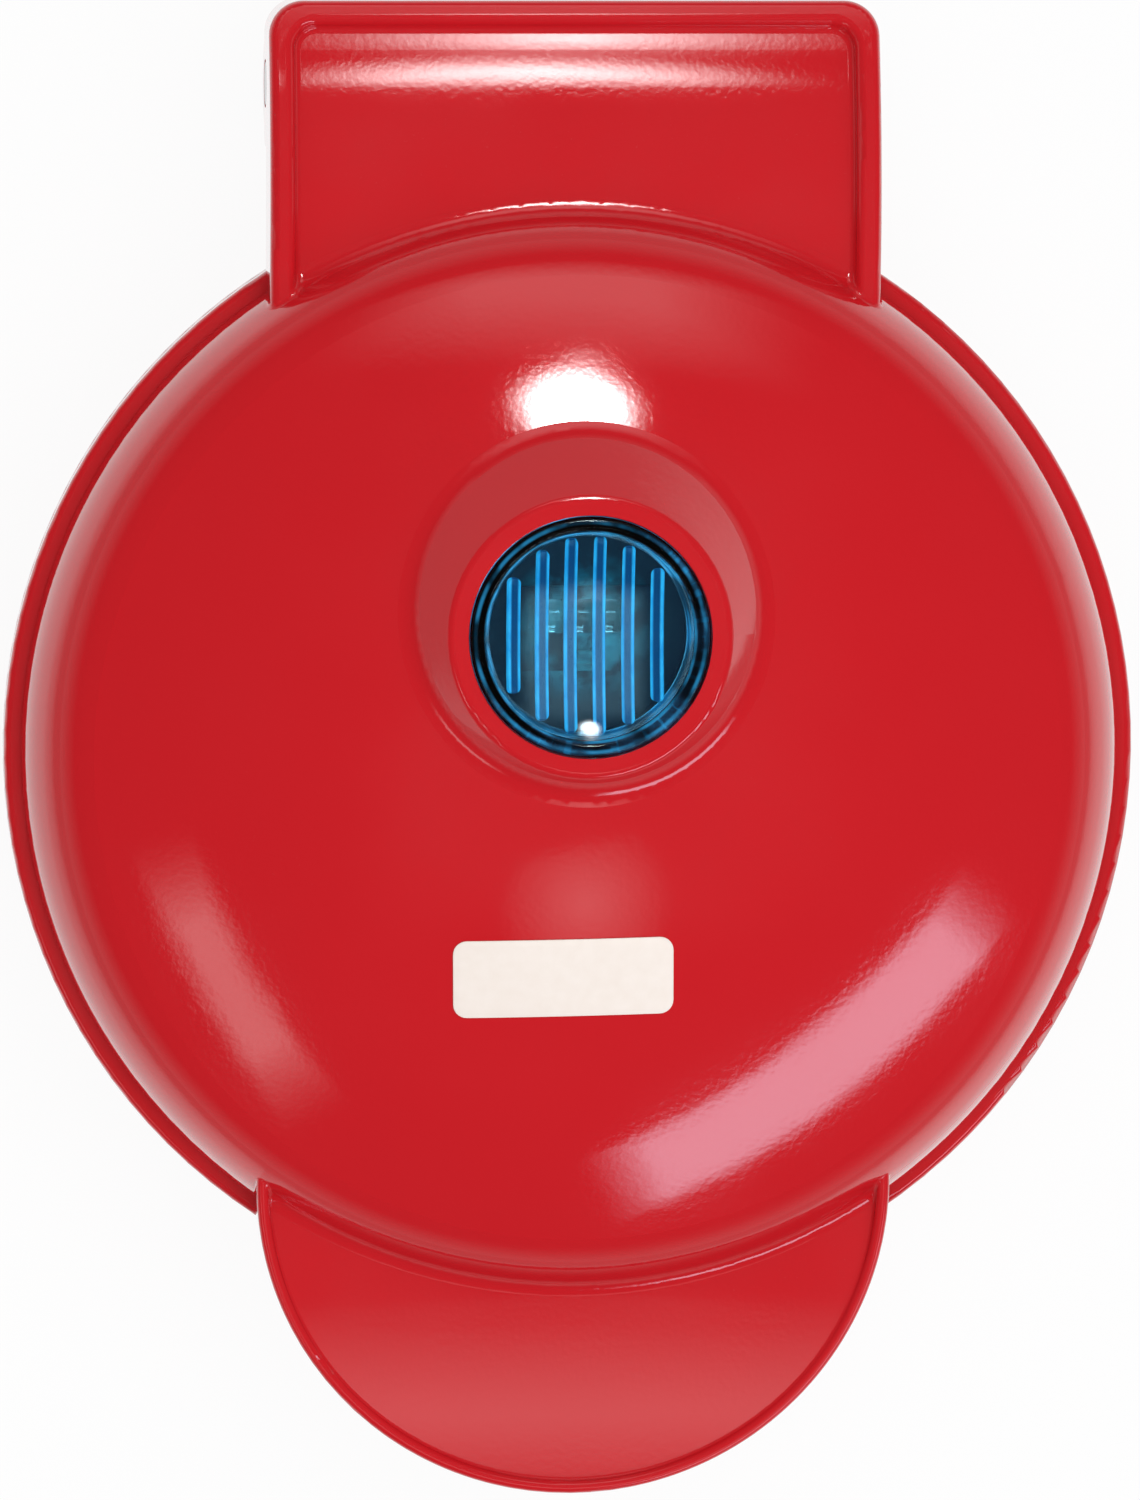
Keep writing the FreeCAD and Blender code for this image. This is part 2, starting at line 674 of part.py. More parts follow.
def upper_plate():
    """A cast plate: a flat land with ring moulds whose walls stand out behind it."""
    plate = column(PLATE_RADIUS, LID_FACE, PLATE_BACK)
    behind = column(PLATE_RADIUS, LID_FACE, MOULD_BACK + 5)
    backs = [torus(RING_SECTION + MOULD_WALL, x, y).common(behind) for x, y in ring_centres()]
    plate = plate.fuse(backs)
    plate = plate.cut([torus(RING_SECTION, x, y) for x, y in ring_centres()])
    plate = rounded(plate, MOULD_EDGE_ROUND, lambda p: near(p.z, LID_FACE))
    return plate.cut(plate_screw_holes(PLATE_BACK + 1))


def plate_screws():
    screws = []
    for x, y in plate_screw_places():
        shank = column(SCREW_RADIUS, PLATE_BACK - PLATE_SCREW_BITE, FLANGE_TOP, x, y)
        head = column(SCREW_HEAD_RADIUS, FLANGE_TOP, FLANGE_TOP + SCREW_HEAD_HEIGHT, x, y)
        head = rounded(head, 0.6, lambda p: near(p.z, FLANGE_TOP + SCREW_HEAD_HEIGHT))
        screws.append(shank.fuse(head).removeSplitter())
    return screws


def heater_ends():
    """Plan places of the two upright ends, a bend beyond the ends of the loop."""
    ends = []
    for sign in (-1, 1):
        x, y = polar(HEATER_LOOP, 90 + sign * HEATER_HALF_OPENING)
        run_x, run_y = polar(HEATER_BEND, 90 + sign * (HEATER_HALF_OPENING - 90))
        ends.append((x + run_x, y + run_y))
    return ends


def upper_heater():
    """One tube: a loop over the ring moulds, turned up at both ends."""
    level = HEATER_LEVEL
    top = level + HEATER_BEND + HEATER_LEG
    half = math.sqrt(0.5)
    angles = (90 - HEATER_HALF_OPENING, 270, 90 + HEATER_HALF_OPENING)
    loop = [vec(*polar(HEATER_LOOP, angle), level) for angle in angles]
    right, left = [vec(x, y, level + HEATER_BEND) for x, y in heater_ends()]

    def bend(low, high):
        part = low + (high - low) * half
        return Part.Arc(low, vec(part.x, part.y, level + HEATER_BEND * (1 - half)), high).toShape()

    edges = [
        Part.makeLine(vec(right.x, right.y, top), right),
        bend(loop[0], right),
        Part.Arc(*loop).toShape(),
        bend(loop[2], left),
        Part.makeLine(left, vec(left.x, left.y, top)),
    ]
    section = Part.Wire(Part.makeCircle(HEATER_TUBE, vec(right.x, right.y, top), UP))
    tube = joined(edges).makePipeShell([section], True, False)
    return tube if tube.Volume > 0 else tube.reversed()


def heater_bushes():
    bushes = []
    bottom = REFLECTOR_LEVEL + SHEET
    for x, y in heater_ends():
        bush = column(BUSH_RADIUS, bottom, bottom + BUSH_HEIGHT, x, y)
        bush = rounded(bush, 0.8, lambda p: near(p.z, bottom + BUSH_HEIGHT))
        bushes.append(bush.cut(column(HEATER_TUBE + 0.1, bottom - 1, bottom + BUSH_HEIGHT + 1, x, y)))
    return bushes


def upper_reflector():
    """A pressed hat over the heater; its flange is clamped by the plate screws."""
    low = LEDGE_TOP
    high = REFLECTOR_LEVEL
    slope = math.atan2(high - low, REFLECTOR_FOOT - REFLECTOR_CROWN)
    slant = SHEET * math.tan(slope / 2)
    profile = [
        (0, high),
        (REFLECTOR_CROWN, high),
        (REFLECTOR_FOOT, low),
        (REFLECTOR_FLANGE, low),
        (REFLECTOR_FLANGE, low + SHEET),
        (REFLECTOR_FOOT + slant, low + SHEET),
        (REFLECTOR_CROWN + slant, high + SHEET),
        (0, high + SHEET),
    ]
    hat = spun(profile)
    holes = plate_screw_holes(low + 2)
    holes += [column(HEATER_TUBE + 0.4, high - 1, high + 2, x, y) for x, y in heater_ends()]
    holes += [column(POST_RADIUS + FIT_GAP, low - 1, low + 2, x, y) for x, y in screw_places(WELL_CIRCLE)]
    return hat.cut(holes)


def indicator_lens():
    """A dished disc with a rounded bead, a skirt through the seat and bars under the dish."""
    top = COLLAR_TOP + LENS_PROUD
    dish_edge = LENS_RADIUS - LENS_BEAD
    sag = LENS_DISH - math.sqrt(LENS_DISH ** 2 - dish_edge ** 2)
    dish_low = top - LENS_DISH_BELOW - sag
    skirt_low = LENS_SEAT - LENS_SKIRT
    neck = LENS_RADIUS - LENS_SEAT_WIDTH - FIT_GAP / 2
    hollow = neck - LENS_SKIN

    def ball(extra):
        centre = vec(0, LENS_Y, dish_low + LENS_DISH)
        solid = Part.makeSphere(LENS_DISH + extra, centre)
        solid.rotate(centre, vec(0, 1, 0), 90)
        return solid

    disc = column(LENS_RADIUS, LENS_SEAT, top, 0, LENS_Y)
    lens = disc.fuse(column(neck, skirt_low, LENS_SEAT, 0, LENS_Y))
    lens = lens.cut(ball(0).common(column(dish_edge, dish_low - 1, top + 1, 0, LENS_Y)))
    lens = rounded(lens, LENS_BEAD_ROUND, lambda p: near(p.z, top))
    lens = lens.cut(column(hollow, skirt_low - 1, top, 0, LENS_Y).cut(ball(LENS_SKIN)))

    # Bars across the underside, each with its lower edges rounded
    low = dish_low - LENS_SKIN - RIB_DEPTH
    side = RIB_WIDTH / 2
    for index in range(RIB_COUNT):
        x = (index - (RIB_COUNT - 1) / 2) * RIB_PITCH
        bar = Part.makeBox(RIB_WIDTH, 2 * LENS_RADIUS, top - low, vec(x - side, LENS_Y - LENS_RADIUS, low))
        bar = rounded(bar, 0.8 * side, lambda p: near(p.z, low) and near(abs(p.x - x), side))
        bar = bar.common(column(hollow + 0.2, low - 1, top, 0, LENS_Y))
        lens = lens.fuse(bar.cut(ball(LENS_SKIN / 2)))
    return lens.removeSplitter()


def lamp_cup():
    profile = [
        (0, CUP_FLOOR),
        (CUP_RADIUS, CUP_FLOOR),
        (CUP_RADIUS, CUP_TOP),
        (CUP_RADIUS - CUP_SKIN, CUP_TOP),
        (CUP_RADIUS - CUP_SKIN, CUP_FLOOR + CUP_SKIN),
        (0, CUP_FLOOR + CUP_SKIN),
    ]
    cup = spun(profile, 0, LENS_Y)
    low = CUP_TOP - 2 * EAR_THICK
    space = column(CUP_RADIUS - CUP_SKIN, low - 1, CUP_TOP + 1, 0, LENS_Y)
    for x, y in ear_places():
        ear = column(EAR_RADIUS, low, low + EAR_THICK, x, y)
        web = Part.makeBox(EAR_REACH, 2 * EAR_RADIUS, EAR_THICK, vec(min(x, 0), y - EAR_RADIUS, low))
        cup = cup.fuse(ear.fuse(web).cut(space))
        cup = cup.cut(column(SCREW_RADIUS + 0.2, low - 1, low + EAR_THICK + 1, x, y))
    for x in (-BOARD_LENGTH / 3, BOARD_LENGTH / 3):
        cup = cup.fuse(column(2.0, CUP_FLOOR, board_level(), x, LENS_Y))
    return cup.removeSplitter()


def board_level():
    return CUP_FLOOR + CUP_SKIN + 1.5


def lamp_cup_screws():
    screws = []
    low = CUP_TOP - 2 * EAR_THICK
    for x, y in ear_places():
        shank = column(SCREW_RADIUS, low, low + EAR_THICK + 4.5, x, y)
        head = column(SCREW_HEAD_RADIUS, low - SCREW_HEAD_HEIGHT, low, x, y)
        head = rounded(head, 0.6, lambda p: near(p.z, low - SCREW_HEAD_HEIGHT))
        screws.append(shank.fuse(head).removeSplitter())
    return screws


def lamp_board():
    low = board_level()
    board = slab(BOARD_LENGTH / 2, LENS_Y - BOARD_WIDTH / 2, LENS_Y + BOARD_WIDTH / 2, low, low + BOARD_THICK)
    resistor = rod(1.2, -3.2, 3.2, LENS_Y - BOARD_WIDTH / 2 + 2.5, low + BOARD_THICK + 1.0)
    return board.fuse(resistor).removeSplitter()


def indicator_lamp():
    """A small glass capsule lying on the board, with its pip and its pinched end."""
    level = board_level() + BOARD_THICK + LAMP_RADIUS + 0.2
    half = LAMP_LENGTH / 2
    y = LENS_Y + 2.5
    glass = rod(LAMP_RADIUS, -half, half, y, level)
    glass = rounded(glass, LAMP_RADIUS * 0.8, lambda p: near(p.x, half))
    pinch = slab(half + 2.5, y - 2.2, y + 2.2, level - 0.8, level + 0.8).common(
        Part.makeBox(half + 2.5, 10, 10, vec(-half - 2.5, y - 5, level - 5))
    )
    return glass.fuse(pinch).removeSplitter()


def hinge_pins():
    inner = KNUCKLE_OUTER - KNUCKLE_LENGTH + 1.5
    shank = rod(PIN_RADIUS, inner, HOOD_HALF - PIN_HEAD_THICK, HINGE_Y, HINGE_Z)
    shank = rounded(shank, 0.6, lambda p: near(p.x, inner))
    head = rod(PIN_HEAD_RADIUS, HOOD_HALF - PIN_HEAD_THICK, HOOD_HALF, HINGE_Y, HINGE_Z)
    head = rounded(head, 0.5, lambda p: near(p.x, HOOD_HALF))
    return mirrored_pair(shank.fuse(head).removeSplitter())


def knuckles():
    inner = KNUCKLE_OUTER - KNUCKLE_LENGTH
    barrel = rod(KNUCKLE_RADIUS, inner, KNUCKLE_OUTER, HINGE_Y, HINGE_Z)
    low = HINGE_Z - KNUCKLE_RADIUS
    front = TOWER_REAR - 2 * WALL
    root = Part.makeBox(TOWER_HALF - inner, HINGE_Y - front, BASE_FACE - low, vec(inner, front, low))
    return mirrored_pair(barrel.fuse(root))


def tower_block(inset, bottom, top):
    block = slab(TOWER_HALF - inset, BODY_RADIUS / 2, TOWER_REAR - inset, bottom, top)
    return rear_corners(block, TOWER_REAR - inset, TOWER_CORNER - inset)


def base_shell():
    outer = bowl(0, BASE_FACE)
    rim = rounded(rim_ring(BASE_RIM_BOTTOM, BASE_FACE), RIM_ROUND, lambda p: near(p.z, BASE_RIM_BOTTOM))
    tower = tower_block(0, FOOT_PROUD, BASE_FACE)
    tower = rounded(
        tower, TOWER_FOOT_ROUND, lambda p: near(p.z, FOOT_PROUD) and p.y > BODY_RADIUS / 2 + 1e-3
    )
    grip_low = BASE_FACE - LOWER_GRIP_DEPTH
    grip_radius = GRIP_RADIUS - LOWER_GRIP_SETBACK
    grip = grip_disc(grip_radius, grip_low, BASE_FACE)
    grip = rounded(grip, LOWER_GRIP_ROUND, lambda p: near(p.z, grip_low))
    body = outer.fuse([rim, tower, grip])

    # Hollow it, leaving the tower open to the bowl
    body = body.cut(bowl(WALL, BASE_FACE + 1))
    body = body.cut(tower_block(WALL, BOWL_FLOOR, BASE_FACE - RIM_THICK - WALL))
    hollow = grip_disc(grip_radius - WALL, grip_low + WALL, BASE_FACE + 1)
    body = body.cut(hollow.cut(bowl(0, BASE_FACE + 2).fuse(rim_ring(BASE_RIM_BOTTOM, BASE_FACE + 2))))
    body = body.fuse(knuckles())
    posts = [column(PAD_RADIUS, grip_low + 1, BASE_FACE - LINER_SKIN, x, y) for x, y in grip_screw_places()]
    body = body.fuse(posts).cut([flipped(hole) for hole in grip_screw_holes()])

    # Screw wells, foot holes, pin bores and the supply hole
    wells = []
    cuts = []
    top = FOOT_PROUD + WELL_DEPTH
    for x, y in screw_places(WELL_CIRCLE):
        wells.append(column(WELL_RADIUS + WELL_SKIN, FOOT_PROUD, top + WELL_SKIN, x, y).common(outer))
        cuts.append(column(WELL_RADIUS, 0, top, x, y))
        cuts.append(column(SCREW_RADIUS + 0.2, 0, top + WELL_SKIN + 1, x, y))
    body = body.fuse(wells)
    for x, y in foot_places().values():
        cuts.append(column(FOOT_NECK + 0.1, 0, BOWL_FLOOR + 1, x, y))
    bore = rod(PIN_RADIUS + PIN_RUNNING_GAP, 0, HOOD_HALF, HINGE_Y, HINGE_Z)
    cuts += mirrored_pair(bore)
    cuts.append(gland_rod(GLAND_NECK + 0.1, -2 * WALL, 2 * WALL))
    cuts.append(slab(LOOM_HALF, TOWER_REAR - 2 * WALL, TOWER_REAR - WALL, BASE_FACE - 10, BASE_FACE + 1))
    return body.cut(cuts).removeSplitter()


def base_liner():
    liner = flipped(liner_ring())
    post_low = FOOT_PROUD + WELL_DEPTH + WELL_SKIN
    ledge = flipped(column(1, LEDGE_TOP - 1, LEDGE_TOP)).BoundBox.ZMin
    posts = [column(POST_RADIUS, post_low, ledge + 0.5, x, y) for x, y in screw_places(WELL_CIRCLE)]
    liner = liner.fuse(posts)
    top = post_low - WELL_SKIN + BASE_SCREW_LENGTH + 0.5
    liner = liner.cut(
        [column(SCREW_RADIUS + SCREW_GAP, post_low - 1, top, x, y) for x, y in screw_places(WELL_CIRCLE)]
    )
    return liner.removeSplitter()


def base_screws():
    screws = []
    seat = FOOT_PROUD + WELL_DEPTH
    for x, y in screw_places(WELL_CIRCLE):
        shank = column(SCREW_RADIUS, seat, seat + BASE_SCREW_LENGTH, x, y)
        head = column(SCREW_HEAD_RADIUS + 0.6, seat - SCREW_HEAD_HEIGHT, seat, x, y)
        head = rounded(head, 0.6, lambda p: near(p.z, seat - SCREW_HEAD_HEIGHT))
        screws.append(shank.fuse(head).removeSplitter())
    return screws


def foot_places():
    rear_y = TOWER_REAR - FOOT_REAR_INSET
    return {
        "foot_front_left": (-FOOT_SPREAD_FRONT, FOOT_FRONT_Y),
        "foot_front_right": (FOOT_SPREAD_FRONT, FOOT_FRONT_Y),
        "foot_rear_left": (-FOOT_SPREAD_REAR, rear_y),
        "foot_rear_right": (FOOT_SPREAD_REAR, rear_y),
    }


def foot(x, y):
    profile = [
        (0, 0),
        (FOOT_RADIUS - 1.0, 0),
        (FOOT_RADIUS, FOOT_PROUD),
        (FOOT_NECK, FOOT_PROUD),
        (FOOT_NECK, BOWL_FLOOR),
        (FOOT_BARB, BOWL_FLOOR),
        (FOOT_NECK - 0.8, BOWL_FLOOR + 3.0),
        (0, BOWL_FLOOR + 3.0),
    ]
    pad = spun(profile, x, y)
    return rounded(pad, 0.7, lambda p: near(p.z, 0))


def gland_rod(radius, start, end):
    length = end - start
    return Part.makeCylinder(radius, length, vec(0, TOWER_REAR + start, GLAND_HEIGHT), vec(0, 1, 0))


def cord_gland():
    gland = gland_rod(GLAND_FLANGE, 0, 2.0)
    nose = gland_rod(GLAND_NECK - 0.3, 2.0, GLAND_NOSE)
    nose = rounded(nose, 1.2, lambda p: near(p.y, TOWER_REAR + GLAND_NOSE))
    barb = gland_rod(GLAND_NECK + 1.4, -WALL - 2.0, -WALL)
    gland = gland.fuse([nose, gland_rod(GLAND_NECK, -WALL, 0), barb])
    return gland.cut(gland_rod(GLAND_BORE, -WALL - 3, GLAND_NOSE + 1)).removeSplitter()


def terminal_block():
    """A three-way block with a wire tunnel and a screw pit for each way."""
    centre = TOWER_REAR - WALL - 8.0 - BLOCK_WIDTH / 2
    top = BOWL_FLOOR + BLOCK_HEIGHT
    block = slab(BLOCK_LENGTH / 2, centre - BLOCK_WIDTH / 2, centre + BLOCK_WIDTH / 2, BOWL_FLOOR, top)
    block = rounded(block, 1.0, lambda p: near(p.z, top))
    for x in block_ways():
        mouth = vec(x, centre - BLOCK_WIDTH / 2 - 1, BOWL_FLOOR + 5)
        tunnel = Part.makeCylinder(2.4, BLOCK_WIDTH + 2, mouth, vec(0, 1, 0))
        block = block.cut([tunnel, column(2.6, BOWL_FLOOR + 5, top + 1, x, centre)])
    return block


def block_ways():
    return [-BLOCK_LENGTH / 3, 0.0, BLOCK_LENGTH / 3]


def terminal_screws():
    centre = TOWER_REAR - WALL - 8.0 - BLOCK_WIDTH / 2
    top = BOWL_FLOOR + BLOCK_HEIGHT - 1.0
    screws = []
    for x in block_ways():
        screws.append(column(2.3, BOWL_FLOOR + 8.5, top, x, centre))
    return screws


def thermostat():
    """A disc thermostat hung under the lower reflector by its ears."""
    top = LOWER_REFLECTOR_LEVEL
    low = top - THERMOSTAT_HEIGHT
    body = column(THERMOSTAT_RADIUS, low, top - SHEET)
    body = rounded(body, 0.8, lambda p: near(p.z, low))
    ears = slab(14.0, -4.0, 4.0, top - SHEET, top)
    ears = rounded(ears, 3.5, lambda p: near(abs(p.x), 14.0) and near(abs(p.y), 4.0))
    ears = ears.cut([column(1.6, top - 2, top + 1, x, 0) for x in (-11.0, 11.0)])
    blades = []
    for y in (-4.0, 4.0):
        blade = Part.makeBox(6.3, SHEET, 5.0, vec(-3.15, y - SHEET / 2, low - 4.0))
        blades.append(blade)
    return body.fuse([ears] + blades).removeSplitter()


def thermal_fuse():
    level = LOWER_REFLECTOR_LEVEL - FUSE_RADIUS - 0.3
    fuse = rod(FUSE_RADIUS, -FUSE_LENGTH / 2, FUSE_LENGTH / 2, FUSE_Y, level)
    return rounded(fuse, 1.0, lambda p: near(abs(p.x), FUSE_LENGTH / 2))


def fuse_clip():
    """A strap round the fuse with a foot on either side."""
    level = LOWER_REFLECTOR_LEVEL - FUSE_RADIUS - 0.3
    inner = FUSE_RADIUS + 0.15
    outer = inner + SHEET
    half = 4.0
    top = LOWER_REFLECTOR_LEVEL
    strap = rod(outer, -half, half, FUSE_Y, level)
    strap = strap.fuse(slab(half, FUSE_Y - outer, FUSE_Y + outer, level, top))
    strap = strap.fuse(slab(half, FUSE_Y - outer - 6.0, FUSE_Y + outer + 6.0, top - SHEET, top))
    strap = strap.cut(rod(inner, -half - 1, half + 1, FUSE_Y, level))
    strap = strap.cut(slab(half + 1, FUSE_Y - inner, FUSE_Y + inner, level, top + 1))
    return strap.removeSplitter()


def save(name, solids):
    shape = Part.makeCompound(solids) if isinstance(solids, list) else solids
    for solid in shape.Solids:
        if not solid.isValid():
            raise ValueError(name + " is not a valid solid")
    print(name, len(shape.Solids), round(shape.Volume, 1))
    shape.exportStep(os.path.join("parts", name + ".step"))


def main():
    os.makedirs("parts", exist_ok=True)
    plate = upper_plate()
    heater = upper_heater()
    bushes = heater_bushes()
    reflector = upper_reflector()
    screws = plate_screws()
    pins = hinge_pins()
    grip_screws = countersunk_screws(GRIP_SCREW_LENGTH, grip_screw_places())

    save("lid_shell", lid_shell())
    save("lid_liner", lid_liner())
    save("lid_screws", countersunk_screws(LID_SCREW_LENGTH, screw_places(LID_SCREW_CIRCLE)))
    save("lid_grip_cover", grip_cover(GRIP_RADIUS - WALL - FIT_GAP))
    save("lid_grip_screws", grip_screws)
    save("upper_plate", plate)
    save("upper_plate_screws", screws)
    save("upper_heater", heater)
    save("upper_heater_bushes", bushes)
    save("upper_reflector", reflector)
    save("indicator_lens", indicator_lens())
    save("lamp_cup", lamp_cup())
    save("lamp_cup_screws", lamp_cup_screws())
    save("lamp_board", lamp_board())
    save("indicator_lamp", indicator_lamp())
    save("hinge_pin_right", pins[0])
    save("hinge_pin_left", pins[1])

    save("base_shell", base_shell())
    save("base_liner", base_liner())
    save("base_screws", base_screws())
    save("base_grip_cover", flipped(grip_cover(GRIP_RADIUS - LOWER_GRIP_SETBACK - WALL - FIT_GAP)))
    save("base_grip_screws", [flipped(screw) for screw in grip_screws])
    save("lower_plate", flipped(plate))
    save("lower_plate_screws", [flipped(screw) for screw in screws])
    save("lower_heater", flipped(heater))
    save("lower_heater_bushes", [flipped(bush) for bush in bushes])
    save("lower_reflector", flipped(reflector))
    save("thermostat", thermostat())
    save("thermal_fuse", thermal_fuse())
    save("fuse_clip", fuse_clip())
    save("terminal_block", terminal_block())
    save("terminal_screws", terminal_screws())
    save("cord_gland", cord_gland())
    for name, (x, y) in foot_places().items():
        save(name, foot(x, y))


main()
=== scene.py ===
import json
import math

import bpy
from mathutils import Matrix, Vector


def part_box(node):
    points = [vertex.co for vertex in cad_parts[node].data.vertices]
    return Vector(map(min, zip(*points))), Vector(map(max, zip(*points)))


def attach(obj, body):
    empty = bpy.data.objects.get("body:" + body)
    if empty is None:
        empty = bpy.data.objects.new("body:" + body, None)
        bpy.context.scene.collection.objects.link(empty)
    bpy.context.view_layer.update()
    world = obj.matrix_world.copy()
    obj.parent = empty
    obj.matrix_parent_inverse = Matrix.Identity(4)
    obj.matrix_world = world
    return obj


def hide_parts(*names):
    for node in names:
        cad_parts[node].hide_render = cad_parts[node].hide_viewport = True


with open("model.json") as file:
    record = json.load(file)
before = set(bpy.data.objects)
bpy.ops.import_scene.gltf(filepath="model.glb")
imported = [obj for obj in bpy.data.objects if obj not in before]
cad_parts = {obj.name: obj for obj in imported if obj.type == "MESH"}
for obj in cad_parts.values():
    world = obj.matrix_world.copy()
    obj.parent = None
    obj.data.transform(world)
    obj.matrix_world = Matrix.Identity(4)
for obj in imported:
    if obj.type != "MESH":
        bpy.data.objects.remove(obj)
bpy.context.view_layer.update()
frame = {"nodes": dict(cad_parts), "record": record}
nodes = frame["nodes"]

# Lens, in metres like every length here; its place and size are the part's
LENS_CENTRE = (0.0, 0.0238)
LENS_LOW, LENS_HIGH = (Vector(corner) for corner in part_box("indicator_lens"))
LENS_RADIUS = (LENS_HIGH.x - LENS_LOW.x) / 2
SKIRT_HEIGHT = 0.0045
SKIRT_WALL = 0.0008
FLANGE_WIDTH = 0.0026
LENS_SEAT = LENS_LOW.z + SKIRT_HEIGHT
NECK_RADIUS = LENS_RADIUS - FLANGE_WIDTH
HOLLOW_RADIUS = NECK_RADIUS - SKIRT_WALL
LENS_SKIN = 0.0016
BEAD_ROUND = 0.0011
BEAD_WIDTH = 0.0028
BEAD_HEIGHT = 0.0014
DISH_RADIUS = 0.047
DISH_EDGE = LENS_RADIUS - BEAD_WIDTH
DISH_BOTTOM = LENS_HIGH.z - BEAD_HEIGHT - DISH_RADIUS + math.sqrt(DISH_RADIUS ** 2 - DISH_EDGE ** 2)
TURN_STEPS = 120
DISH_STEPS = 14
BEAD_STEPS = 6
HOLLOW_STEPS = 12

# Painted glints: glowing lines on the bead; and how far from the axis the painted light under the lens
# reaches
OUTER_LINE = LENS_RADIUS - 0.0010
OUTER_LINE_HALF = 0.00045
INNER_LINE = DISH_EDGE + 0.0001
INNER_LINE_HALF = 0.00030
BOARD_PAINTED_LIGHT = (0.005, 0.0125)
CUP_PAINTED_LIGHT = (0.004, 0.014)

# Bars under the lens, with painted light along their edges
RIB_COUNT = 6
RIB_PITCH = 0.005
RIB_FIRST = -0.0131
RIB_WIDTH = 0.0022
RIB_DEPTH = 0.0012
RIB_CLEARANCE = 0.0002
RIB_REACH = HOLLOW_RADIUS - RIB_CLEARANCE
RIB_GAP = 0.0002
RIB_CORNER = 0.4 * RIB_WIDTH
RIB_ROUND = 0.00015
RIB_CUTS = 14
RIB_SIDE_CUT = 0.22 * RIB_WIDTH
RIB_PAINTED_EDGE_LIGHT = (0.2 * RIB_WIDTH, 0.36 * RIB_WIDTH)

# Crosses in the screw heads
CROSS_ARM = (0.0031, 0.0008, 0.0024)
CROSS_ROUND = 0.00015
DRIVEN_TURN = math.radians(37)

# Badge
BADGE_PLACE = (-0.0039, -0.0364)
BADGE_SIZE = (0.0384, 0.0138)
BADGE_TURN = math.radians(1.2)
BADGE_CORNER = 0.0024
BADGE_CUTS = (24, 10)
BADGE_GAP = 0.00005
BADGE_THICKNESS = 0.0003
BADGE_ROUND = 0.00012
ABOVE_DOME = 0.12

# Surfaces
MERGE_REACH = 1e-6
PEEL_DEPTH = 0.0002
FINE_DEPTH = 0.0001
LINE_RELIEF = 0.1
GLASS_IOR = 1.45
# Painted shade: the dark colour where no painted light falls under the lens
PAINTED_SHADE = (0.006, 0.014, 0.028)
FULL = (0.0, 1.0)
FALLING = (1.0, 0.0)
NOISE_CORE = (0.3, 0.7)

# Camera: it leans toward the back left, and the picture's long side spans the view's length
VIEW_TARGET = Vector((0.0002, -0.0007, 0.0475))
VIEW_DISTANCE = 2.2
VIEW_LEAN = math.radians(7.7)
VIEW_SIDE = (-0.605, 0.796)
VIEW_UP = (-0.004, 1, 0)
VIEW_LENGTH = 0.26525
SENSOR_WIDTH = 36.0

# Floor and surroundings as the gloss mirrors them, with a painted pool of light on the floor, and places
# that lamps aim at
FLOOR_SIZE = 12.0
FLOOR_GLOW = 0.93
PAINTED_POOL_EDGE = (0.24, 0.60)
PAINTED_POOL_LEVELS = (1.0, 0.28)
HORIZON_BAND = (0.0, 0.30)
HORIZON_LEVELS = (0.40, 0.05)
MIDDLE = (0, 0, 0.06)
DOME_BACK = (-0.0014, 0.063, 0.079)
HOOD_TOP = (0, 0.125, 0.06)
GRIP_TOP = (0, -0.115, 0.058)
LENS_FRONT = (0, LENS_CENTRE[1] - 0.0158, LENS_HIGH.z - 0.002)
COOL = (0.72, 0.82, 1.0)


# Picking and shaping by hand

def start_clean():
    """Leave edit mode and let go of everything, so that an operator acts on the new piece only."""
    if bpy.context.mode != "OBJECT":
        bpy.ops.object.mode_set(mode="OBJECT")
    bpy.ops.object.select_all(action="DESELECT")


def take(piece):
    start_clean()
    piece.select_set(True)
    bpy.context.view_layer.objects.active = piece


def settle(piece):
    """Put the piece's place into its mesh, with the object at the origin."""
    take(piece)
    bpy.ops.object.transform_apply(location=True, rotation=True, scale=True)


def open_mesh():
    """Edit the active piece, with all of it selected."""
    bpy.ops.object.mode_set(mode="EDIT")
    bpy.ops.mesh.select_all(action="SELECT")


def cut_through(place, direction):
    """Cut the whole open mesh along a plane."""
    bpy.ops.mesh.select_all(action="SELECT")
    bpy.ops.mesh.bisect(plane_co=place, plane_no=direction)


def join(pieces, first):
    """Join pieces into the first one."""
    start_clean()
    for piece in pieces:
        piece.select_set(True)
    bpy.context.view_layer.objects.active = first
    bpy.ops.object.join()


def lay_against(piece, target, upward, gap):
    """Press a flat piece straight up or down against a target."""
    lay = piece.modifiers.new("lay", "SHRINKWRAP")
    lay.target = target
    lay.wrap_method = "PROJECT"
    lay.use_project_z = True
    lay.use_positive_direction = upward
    lay.use_negative_direction = not upward
    lay.offset = gap


def thicken(piece, thickness, side, edge_round):
    """Give a sheet its thickness on one side, and round its edges."""
    wall = piece.modifiers.new("thickness", "SOLIDIFY")
    wall.thickness = thickness
    wall.offset = side
    edge = piece.modifiers.new("soft edges", "BEVEL")
    edge.width = edge_round
    edge.segments = 2
    edge.limit_method = "ANGLE"


def apply_modifiers(piece):
    take(piece)
    for modifier in list(piece.modifiers):
        bpy.ops.object.modifier_apply(modifier=modifier.name)


def smooth(piece, degrees):
    take(piece)
    bpy.ops.object.shade_smooth_by_angle(angle=math.radians(degrees))


def dress(piece, material):
    piece.data.materials.clear()
    piece.data.materials.append(material)


# Shared surface effects

